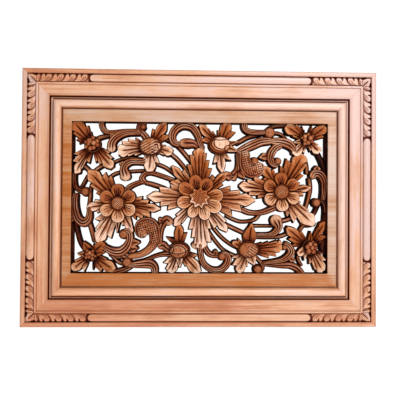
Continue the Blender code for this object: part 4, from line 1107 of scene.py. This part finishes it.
def leaf(centre, length, degrees, half_width, lobes, top=LEAF_TOP, rise_by=LEAF_RISE, tone=0.5, veined=1.0):
    """A leaf as a closed skin: rows across it from root to tip, each carried round the back. It
    rises towards its tip by rise_by, and veined is how strong its midrib and pleats are."""
    # a broad leaf with teeth ends in a round lobe
    blunt = min(1, max(0, half_width / length * 12 - 1.45)) if lobes else 0
    sides = []
    for way in (1, -1):
        its_lobes = [(a, c * way) for a, c in lobes if c * way > 0]
        sides.append((way, its_lobes, *leaf_side(length, half_width, its_lobes, blunt)))
    needed = [row for side in sides for row in side[-1]]
    even = np.linspace(length * LEAF_START, length * LEAF_END, max(14, round(length)))
    rows = np.array(sorted([a for a in even if all(abs(a - row) > 0.3 for row in needed)] + needed))
    left, right = [np.interp(rows, *side[2].T) for side in sides]
    across = np.concatenate([-right[:, None] * ACROSS[:0:-1], left[:, None] * ACROSS], axis=1)
    along = rows[:, None] + SWEPT * np.abs(across)

    # the face rises to the tip, rolls over at the edge and sinks between edge and midrib
    outline = np.concatenate([np.stack([edge[:, 0] + SWEPT * edge[:, 1], edge[:, 1] * way], axis=1)
                              for way, its_lobes, edge, notches, tooth_rows in sides])
    rim = np.hypot(along[..., None] - outline[:, 0], across[..., None] - outline[:, 1]).min(axis=-1)
    size = min(1, 0.45 + length / 130)
    share = along / length
    depth = top - rise_by * (1 - share) ** 1.2
    rolled = np.sqrt(1 - (1 - np.clip(rim / (EDGE_ROLL_WIDTH * size), 0, 1)) ** 2)
    depth = depth - EDGE_ROLL * size * (1 - rolled)
    depth -= FACE_SINK * size * rise(rim, 1.0, 4.5) * (1 - 0.5 * share)
    fade = 1 - rise(share, 0.74, 0.95)
    wide = (1.5 + 1.0 * (1 - share)) * size
    rib = cut(across, wide) * fade * veined
    depth -= MIDRIB_DEPTH * size * rib + 1.3 * size * np.exp(-np.abs(across) / (2.6 * size)) * fade
    # the dark in the midrib, pleats and cuts is dark polishing with painted shade
    hollow = np.maximum(0.85 * rib ** 0.7, 0.42 * np.exp(-(across / (wide + 1.6)) ** 2) * fade)

    # pleats fan out from the root, between the deeper cuts
    spread = across / (0.3 * length + along)
    fan = spread * math.tau * max(4, 0.11 * length) + 2.5 * np.sin(along * 0.09 + degrees)
    pleat = 0.5 + 0.5 * np.cos(fan)
    pleat = (1 - pleat) * (1 - rise(share, 0.78, 0.97)) * rise(rim, 0.6, 2.5) * veined
    depth -= PLEAT_DEPTH * size * pleat
    hollow = np.maximum(hollow, 0.28 * pleat ** 2)

    # a cut runs out to each notch, and a short vein into the middle of each tooth
    for way, its_lobes, edge, notches, tooth_rows in sides:
        for a, c in notches:
            beside, fade = line_out(along, across, a, way * c, (0.15, 0.35, 0.92, 1.06))
            side_cut = cut(beside, 1.8 * size) * fade
            depth -= SIDE_CUT_DEPTH * size * side_cut + 0.9 * size * np.exp(-np.abs(beside) / 2.0) * fade
            hollow = np.maximum(hollow, 0.76 * side_cut ** 0.7)
            hollow = np.maximum(hollow, 0.32 * np.exp(-(beside / 2.6) ** 2) * fade)
        for a, c in its_lobes:
            beside, fade = line_out(along, across, a * 0.97, way * c * 0.72, (0.35, 0.5, 0.85, 1.0))
            vein = cut(beside, 1.1 * size) * fade
            depth -= VEIN_DEPTH * size * vein
            hollow = np.maximum(hollow, 0.42 * vein)

    # painted shade under the flower, deeper on the leaves painted as shaded; pale edges and tip, rubbed by
    # polishing and with a painted highlight that is strongest on the leaves painted palest
    hollow = np.maximum(hollow, 0.85 * (1 - rise(share, 0.15, 0.58)))
    hollow = hollow + 0.32 * (1 - tone) * (1 - share)
    bright = 0.25 + 0.75 * max(0, min(1, tone))
    wear_and_highlight = 0.32 * np.exp(-(rim / (1.3 * size)) ** 1.5) + 0.9 * (share - 0.62)
    shade = tone + bright * wear_and_highlight - 0.10 * rise(rim, 1.5, 6)
    flow = np.stack([spread * 0.8 * length + 40, along, np.full_like(along, degrees)], axis=-1)
    return set_out(centre, degrees, rows, left, right, across, depth, hollow, shade, flow, SWEPT)


for name, (x, z, radius, paleness) in FLOWERS.items():
    leaves = []
    for number, (length, degrees, half_width, lobes) in enumerate(LEAVES[name]):
        # painted light and shade by the way the leaf points
        tone = LEAF_TONE + paleness - LEAF_PAINTED_SHADING * math.cos(math.radians(degrees - MOST_SHADED_WAY))
        top = LEAF_TOP - LEAF_STEP * (number % 3)
        leaves.append(leaf((x, z), length, degrees, half_width, lobes, top, tone=tone))
    finished_piece(name + "_leaves", leaves, carving_wood, "carving", "carved_board")

scroll_lobes = []
for x, z, tip_x, tip_z, width in LOBES:
    length = math.hypot(tip_x - x, tip_z - z)
    degrees = math.degrees(math.atan2(tip_z - z, tip_x - x))
    scroll_lobes.append(leaf((x, z), length, degrees, width * 0.5, (), LOBE_TOP, LOBE_RISE, LOBE_TONE))
finished_piece("scroll_lobes", scroll_lobes, dark_wood, "carving", "carved_board")


# ================================================================ carved board: flowers
# Round petals with a raised rim and a few short gouge cuts stand round a domed heart that is
# cross-hatched; the buds are folded or half hatched, and the corner flowers have clustered seeds.

# the petals of each open flower: direction, distance of the round end, and width
PETALS = {
    "main": [(8, 47, 25), (62, 42, 24), (104, 46, 24), (147, 47, 24), (196, 45, 24), (245, 42, 20),
             (288, 45, 22), (331, 48, 26)],
    "left": [(31 + 60 * i, 37.5, 24) for i in range(6)],
    "right": [(33 + 60 * i, 38, 24) for i in range(6)],
}
PETAL_TOP, PETAL_RISE, PETAL_DISH, PETAL_ROLL = 29.5, 5.0, 1.4, 1.6
PETAL_CUTS, PETAL_CUT_DEPTH = 4, 1.6
PETAL_TONE, PETAL_PAINTED_SHADING = 0.24, 0.40     # painted light and shade: petals rise outwards too, and are painted darkest at the top and palest at the bottom
ROUND_FROM = 0.62            # a petal's round end starts at this share of its length
HEART_TOP, NET_DEPTH, RIPPLE_DEPTH = 31.5, 1.1, 1.8
SEED_TOP, SEED_FALL = 28.5, 3.5        # depth of the middle seed, and how far the outer ones fall
SEED_SCALE = 0.00103         # millimetres to metres, and a little over
SEED_TONE = -0.38
CURL_TOP, CURL_SCALE, CURL_TONE, CURL_STAIN = 27.5, 1.1, 0.16, 0.16

# a bud is oval; hatching has a pitch, a turn in degrees, where across the turned lines it starts
# and ends, and 1 where it is crossed; ripples have their middle, where they start and a pitch;
# folds are raised discs: x, z, radius, height and how much paler
BUD = (1.06, 0.82)
HEARTS = {
    "main": dict(hatch=(3.1, 40, -99, 99, 1), dome=5.5, top=33, tone=0.1, dark=0.12),
    "left": dict(hatch=(3.4, 45, -99, 99, 1), dome=5.5, tone=0.25, dark=0.1),
    "right": dict(hatch=(3.3, 30, -99, 99, 1), dome=5.5, tone=0.15, dark=0.1),
    "top_left_bud": dict(oval=BUD, dome=9, top=33, hatch=(5.4, 36, -99, 3.0, 0), ripple=(9, -4, 2.0, 6.6),
                         tone=0.1, dark=0.18),
    "top_rose": dict(oval=BUD, dome=9, top=32, tone=0.0, dark=0.35, clean=0.85,
                     folds=((2.4, 2.6, 17.0, 0.9, 0.15), (4.0, 4.6, 14.2, 0.9, 0.6),
                            (1, 38, 26, 0.9, 0.1), (17, -9, 7, 0.8, -0.1))),
    "low_left_bud": dict(oval=BUD, dome=8.5, top=32, tone=-0.1, dark=0.42, clean=0.12,
                         folds=((-1.5, -1.5, 17.2, 0.9, 0.15), (-3, -3, 14.0, 0.9, 0.1),
                                (-5, 22.6, 29, 0.8, 0.1), (-20, 2, 8.5, 0.8, -0.2))),
    "low_right_bud": dict(oval=BUD, dome=9, top=33, hatch=(5.4, -38, -1, 99, 0), tone=0.2, dark=0.3),
}
# the small leaves round the heart of the big flower: how many, length, half width, top and rise
CALYX_COUNT, CALYX_LENGTH, CALYX_HALF, CALYX_TOP, CALYX_RISE = 9, 20.3, 6.2, 30.4, 0.6
# the seeds of the corner flowers: place from the middle, and size, in shares of the radius
SEEDS = {
    "top_left": [(0.25, 0.08, 0.36), (0.25, -0.52, 0.3), (-0.3, 0.36, 0.38), (-0.42, -0.06, 0.28),
                 (-0.2, -0.62, 0.32), (0.68, 0.35, 0.3), (0.7, -0.15, 0.28), (0.15, 0.72, 0.3),
                 (-0.72, -0.4, 0.26), (-0.75, 0.2, 0.25)],
    "top_right": [(-0.38, 0.42, 0.34), (-0.42, -0.1, 0.34), (0.38, 0.18, 0.4), (0.62, -0.3, 0.26),
                  (0.05, -0.5, 0.36), (-0.4, -0.62, 0.28), (0.1, 0.72, 0.28), (0.72, 0.45, 0.22),
                  (-0.8, 0.2, 0.2)],
    "low_left": [(0.0, 0.3, 0.34), (-0.45, 0.1, 0.3), (0.42, 0.0, 0.32), (-0.1, -0.3, 0.32),
                 (-0.55, -0.4, 0.26), (0.4, -0.55, 0.28), (0.45, 0.55, 0.26), (-0.4, 0.62, 0.26),
                 (0.8, -0.2, 0.2)],
    "low_right": [(-0.1, 0.5, 0.36), (-0.5, 0.1, 0.38), (0.2, -0.02, 0.34), (0.38, -0.58, 0.36),
                  (-0.32, -0.5, 0.42), (0.6, 0.42, 0.32), (0.75, -0.1, 0.24), (0.3, 0.8, 0.2)],
}
# the balls at the ends of the scrolls: x, z and radius
CURLS = [
    (-115, 142, 4.5), (139, 133, 9.5), (156, 76, 6), (109, 76, 6.5), (234, -7, 7), (170, -97, 4.5),
    (116, -142, 7.5), (44, -116, 6.5), (-112, -68, 6), (-152.5, -72.5, 7.5), (-145, -128, 8),
    (-229, 12, 7),
]


def petal(centre, degrees, inner, outer, width, lift, tone):
    """One petal as a closed skin: rows across it from under the heart out to its round end."""
    tight = 1 - 0.5 * (1 - np.sin(np.linspace(0, math.pi / 2, 26)))
    share = np.concatenate([np.linspace(0, 0.5, 22)[:-1], tight])
    rows = inner + (outer - inner) * share
    flank = width / 2 * (0.46 + 0.54 * rise(share, 0, 0.60))
    half = flank * np.sqrt(np.clip(1 - (np.maximum(share - ROUND_FROM, 0) / 0.382) ** 2, 0.0004, 1))
    fine = np.linspace(-1, 1, 33)
    fine = np.sin(fine * math.pi / 2) * 0.5 + fine * 0.5
    across = half[:, None] * fine
    along = np.broadcast_to(rows[:, None], across.shape)
    share = np.broadcast_to(share[:, None], across.shape)

    # a shallow dish that rises outwards, with a rolled edge and a line inside it
    edge = np.hypot((share - ROUND_FROM).clip(0, 1) / 0.38, across / flank[:, None])
    dish = 1 - np.clip(edge, 0, 1) ** 2
    depth = PETAL_TOP + lift - PETAL_RISE * (1 - share) ** 1.2 - PETAL_DISH * dish
    rolled = 1 - (np.clip(edge - 0.84, 0, 0.16) / 0.161) ** 2
    depth = depth - PETAL_ROLL * (1 - np.sqrt(np.clip(rolled, 0, 1)))
    line = cut(edge - 0.80, 0.08) * rise(share, 0.45, 0.6)
    depth = depth - 0.5 * line
    stain = 0.30 * line
    for number in range(PETAL_CUTS):
        bend = (number - (PETAL_CUTS - 1) / 2) * 1.45 / PETAL_CUTS
        reach = 0.84 - 0.26 * abs(bend) - 0.10 * ((number + round(degrees)) % 2)
        beside = across - half[:, None] * bend * (0.9 + 0.25 * share)
        gouge = cut(beside, 1.3) * (1 - rise(share, reach - 0.12, reach))
        trough = np.exp(-np.abs(beside) / 1.2) * (1 - rise(share, reach - 0.2, reach))
        depth = depth - PETAL_CUT_DEPTH * gouge - 0.5 * trough
        stain = np.maximum(stain, 0.62 * gouge ** 0.8)

    # painted shade at the root under the heart and in the dish, deeper on the petals painted as shaded;
    # paler outwards, and a painted highlight on the rolled edge, strongest on the petals painted palest
    stain = np.maximum(stain, 0.8 * (1 - rise(share, 0.0, 0.34)))
    stain = stain + 0.22 * (1 - rise(edge, 0.35, 0.85)) * (1.1 - tone) + 0.30 * max(0, 0.4 - tone)
    wear_and_highlight = (0.15 + 0.35 * tone) * rise(edge, 0.78, 0.95) * rise(share, 0.5, 0.8)
    shade = tone + wear_and_highlight + 0.35 * (share - 0.6)
    flow = np.stack([across / half[:, None] * 9 + 30, along, np.full_like(along, degrees)], axis=-1)
    return set_out(centre, degrees, rows, half, half, across, depth, stain, shade, flow)


def heart(centre, radius, oval=(1, 1), top=HEART_TOP, dome=6.5, hatch=None, ripple=None, folds=(), tone=0.4,
          dark=0.0, clean=0.4, plain=False):
    """A domed heart or bud as a closed skin of rings, from its foot to its top. Dark is the stain
    all over it, and clean how much of that a fold has lost. A plain one has fewer rings."""
    near_edge, inside, turns = (4, 12, 56) if plain else (9, 34, 150)
    share = np.concatenate([np.linspace(1, 0.9, near_edge)[:-1], np.linspace(0.9, 0.02, inside)])[:, None]
    turn = np.linspace(0, math.tau, turns, endpoint=False)
    x = radius * share * np.cos(turn)
    z = radius * share * np.sin(turn)
    depth = top - dome + dome * np.sqrt(np.clip(1 - share ** 2.2, 0, 1)) + 0 * x
    # painted shade round the foot of the dome, and a painted highlight that makes its top paler
    stain = np.maximum(dark, 0.9 * rise(share, 0.78, 1)) + 0 * x
    shade = tone + 0.25 * (1 - share) + 0 * x
    if hatch:
        pitch, degrees, first, last, crossed = hatch
        way = math.radians(degrees)
        u = x * math.cos(way) + z * math.sin(way)
        v = z * math.cos(way) - x * math.sin(way)
        where = rise(u, first - 0.4, first + 0.4) * (1 - rise(u, last - 0.4, last + 0.4))
        lines = cut(np.mod(v, pitch) - pitch / 2, 1.0 + 0.5 * (1 - crossed))
        net = np.maximum(crossed * cut(np.mod(u, pitch) - pitch / 2, 1.0), lines) * where
        depth = depth - NET_DEPTH * net
        stain = np.maximum(stain, (0.85 - 0.25 * crossed) * net ** 0.8)
        shade = shade + (0.3 - 0.3 * crossed) * where
    if ripple:
        middle_x, middle_z, start, pitch = ripple
        far = np.hypot(x - middle_x, z - middle_z)
        bend = 1.9 * np.sin(3 * np.arctan2(z - middle_z, x - middle_x) + 1) + 0.9 * np.sin(z * 0.9)
        where = rise(x * math.copysign(1, middle_x), start - 0.6, start + 0.6)
        wave = 0.5 + 0.5 * np.cos((far + bend) * math.tau / pitch)
        depth = depth - RIPPLE_DEPTH * wave * where
        stain = np.maximum(stain, 0.75 * wave ** 2 * where)
        shade = shade + 0.6 * (1 - wave) * where
    for fold_x, fold_z, fold_radius, height, paler in folds:
        inside = fold_radius - np.hypot(x - fold_x, z - fold_z)
        depth = depth + height * rise(inside, -0.5, 0.5)
        stain = stain * (1 - clean * rise(inside, 0.2, 1.5) * (share < 0.93))
        # painted shade in the crease round the fold's foot, and a painted highlight just inside its edge
        stain = np.maximum(stain, cut(inside + 0.9, 1.5) ** 0.7)
        shade = shade + paler * rise(inside, 0, 1) + 0.45 * cut(inside - 1.4, 1.5)

    # the walls go down from the first ring to the back
    back = BOARD_BACK + 0.6 + radius * 0.01
    walls = [(np.maximum(depth[:1] - down, back), 1 + out / radius, mark) for down, out, mark in WALL[::-1]]
    x = np.concatenate([x[:1] * wider for wall, wider, mark in walls] + [x]) * oval[0]
    z = np.concatenate([z[:1] * wider for wall, wider, mark in walls] + [z]) * oval[1]
    stain = np.concatenate([np.full_like(wall, mark) for wall, wider, mark in walls] + [stain])
    shade = np.concatenate([np.full_like(wall, WALL_TONE) for wall, wider, mark in walls] + [shade])
    depth = np.concatenate([wall for wall, wider, mark in walls] + [depth])
    flow = np.stack([x, z, depth], axis=-1)
    places = stand((centre[0] + x) * FIT, (centre[1] + z) * FIT, depth)
    return skin(places, stain, np.clip(shade, 0, 1), flow)


def seed_tree():
    """Geometry nodes that set a round seed on every point of a drawing, at its own size, with
    painted shade towards the back and a painted highlight on its front, and a little paler on
    some points than on others."""
    tree, given = new_tree("carved_seeds", [("Wood", "Material"), ("Tone", "Float")])
    seed = given.node("GeometryNodeMeshUVSphere", None, {"Segments": 18, "Rings": 10, "Radius": 1.0})
    normal = given.node("ShaderNodeSeparateXYZ", None, {"Vector": given.node("GeometryNodeInputPosition")})
    # painted shade on the back of each seed, and a painted highlight on its front that faces the lamps
    painted_back_shade = given.math("MAXIMUM", normal.also("Y") + 0.75, 0.0)
    seed = keep(seed, "stain", (painted_back_shade * 1.5 + 0.1).between())
    seed = keep(seed, "tone", given.also("Tone") - normal.also("Y") * 0.5)
    seeds = given.node("GeometryNodeInstanceOnPoints", None, {
        "Points": given, "Instance": seed, "Scale": kept(given, "size")})
    seeds = given.node("GeometryNodeRealizeInstances", None, {"Geometry": seeds})
    seeds = keep(seeds, "tone", kept(given, "tone") + kept(given, "paler"))
    end_tree(seeds, given.also("Wood"))
    return tree


sow_tree = seed_tree()
for name, (x, z, radius, paleness) in FLOWERS.items():
    parts = []
    if name == "main":
        for i in range(CALYX_COUNT):
            way = 4 + i * 360 / CALYX_COUNT
            # painted light and shade: the lower small leaves are painted paler and the upper ones darker
            tone = 0.45 - 0.5 * math.sin(math.radians(way + 15))
            parts.append(leaf((x, z), CALYX_LENGTH, way, CALYX_HALF, (), CALYX_TOP, CALYX_RISE, tone, 0))
    for i, (way, outer, width) in enumerate(PETALS.get(name, ())):
        # painted light and shade by the way the petal points
        tone = PETAL_TONE - PETAL_PAINTED_SHADING * math.sin(math.radians(way))
        parts.append(petal((x, z), way, radius - 3, outer, width, 0.5 * (i % 2), tone))
    if name in PETALS:
        # a disc of painted shade, near black, closes the gaps between the petals' roots
        parts.append(heart((x, z), radius + 7, top=22, dome=2, tone=0.0, dark=0.95, plain=True))
    if name in HEARTS:
        parts.append(heart((x, z), radius, **HEARTS[name]))
    else:
        # the knob that the seeds stand on, near black as painted shade in the gaps between them
        parts.append(heart((x, z), radius, top=26, dome=6, tone=0.0, dark=1.0, plain=True))
    finished_piece(name + "_flower", parts, carving_wood, "carving", "carved_board")

for name, seeds in SEEDS.items():
    x, z, radius, paleness = FLOWERS[name]
    cluster = bpy.data.meshes.new(name + "_seeds")
    dx, dz, share = np.array(seeds).T
    spots = stand((x + radius * dx) * FIT, (z + radius * dz) * FIT, SEED_TOP - SEED_FALL * np.hypot(dx, dz))
    cluster.from_pydata(spots.tolist(), [], [])
    # the first seed is the palest
    paler = [0.5] + [0.12 * (i % 3) for i in range(1, len(seeds))]
    mark_points(cluster, size=radius * share * SEED_SCALE, paler=paler)
    mesh = grown_mesh(new_object(name + "_seeds", cluster), sow_tree, {"Wood": dark_wood, "Tone": SEED_TONE})
    finish_mesh(name + "_seeds", mesh, "carving", "carved_board")

curls = [heart((x, z), radius * CURL_SCALE, top=CURL_TOP, tone=CURL_TONE, dark=CURL_STAIN, plain=True)
         for x, z, radius in CURLS]
finished_piece("scroll_curls", curls, dark_wood, "carving", "carved_board")


# ================================================================ studio
# A pale floor below the hanging panel, a white room, and soft light from above the viewer.
FLOOR_DROP = 0.12            # the floor lies this far below the panel, in metres
FLOOR_REACH, FLOOR_BEHIND = 2.5, 0.4
FLOOR_GLOW = 0.8
ROOM_LIGHT, ROOM_SEEN = 0.20, 1.05     # how bright the room is for the panel and for the camera
# the camera looks almost straight at the panel, from a little left of its middle
CAMERA_LENS = 57.985
CAMERA_PLACE = (-0.05228, -1.3, MIDDLE_Z - 0.0252)
CAMERA_TURNS = (("Z", -0.00698), ("Y", 0.04050), ("X", -0.01727))

floor_z = cad_low.z - FLOOR_DROP
floor_mesh = bpy.data.meshes.new("floor")
floor_mesh.from_pydata([(-FLOOR_REACH, -FLOOR_REACH, floor_z), (FLOOR_REACH, -FLOOR_REACH, floor_z),
                        (FLOOR_REACH, FLOOR_BEHIND, floor_z), (-FLOOR_REACH, FLOOR_BEHIND, floor_z)],
                       [], [(0, 1, 2, 3)])
floor = new_object("floor", floor_mesh)
floor_paint = bpy.data.materials.new("floor_paint")
floor_paint.use_nodes = True
floor_shader = floor_paint.node_tree.nodes["Principled BSDF"]
floor_shader.inputs["Base Color"].default_value = (0.9, 0.9, 0.9, 1)
floor_shader.inputs["Roughness"].default_value = 0.9
floor_shader.inputs["Emission Color"].default_value = (1, 1, 1, 1)
floor_shader.inputs["Emission Strength"].default_value = FLOOR_GLOW
floor_mesh.materials.append(floor_paint)

world = bpy.data.worlds.new("white_room")
bpy.context.scene.world = world
world.use_nodes = True
world.node_tree.nodes.clear()
room = Wire(world.node_tree)
seen = room.node("ShaderNodeLightPath")
dim = room.node("ShaderNodeBackground", None, {"Color": (1, 1, 1, 1), "Strength": ROOM_LIGHT})
bright = room.node("ShaderNodeBackground", None, {"Color": (1, 1, 1, 1), "Strength": ROOM_SEEN})
both = room.node("ShaderNodeMixShader", None, {0: seen, 1: dim, 2: bright})
room.node("ShaderNodeOutputWorld", None, {"Surface": both})

# square lamps that face the panel's middle: place, width in metres and power in watts
LAMPS = {
    "key_light": ((0.46, -1.33, 0.96), 0.7, 28),
    "front_light": ((0.75, -1.6, 0.05), 0.7, 8),
    "back_light": ((-1.2, 1.3, 0.7), 0.8, 18),
}
for name, (place, width, power) in LAMPS.items():
    lamp = bpy.data.lights.new(name, "AREA")
    lamp.size = width
    lamp.energy = power
    light = new_object(name, lamp)
    light.location = place
    light.rotation_euler = (Vector((0, 0, MIDDLE_Z)) - Vector(place)).to_track_quat("-Z", "Y").to_euler()

camera_data = bpy.data.cameras.new("camera")
camera_data.lens = CAMERA_LENS
camera_data.clip_end = 50
camera = new_object("camera", camera_data)
camera.location = CAMERA_PLACE
turn = Matrix.Identity(3)
for axis, angle in CAMERA_TURNS:
    turn = turn @ Matrix.Rotation(angle, 3, axis)
# its right, up and backward directions, in the room
axes = [(row.x, -row.z, row.y) for row in turn]
camera.rotation_euler = Matrix(axes).transposed().to_euler()
bpy.context.scene.camera = camera
bpy.context.scene.view_settings.view_transform = "Standard"
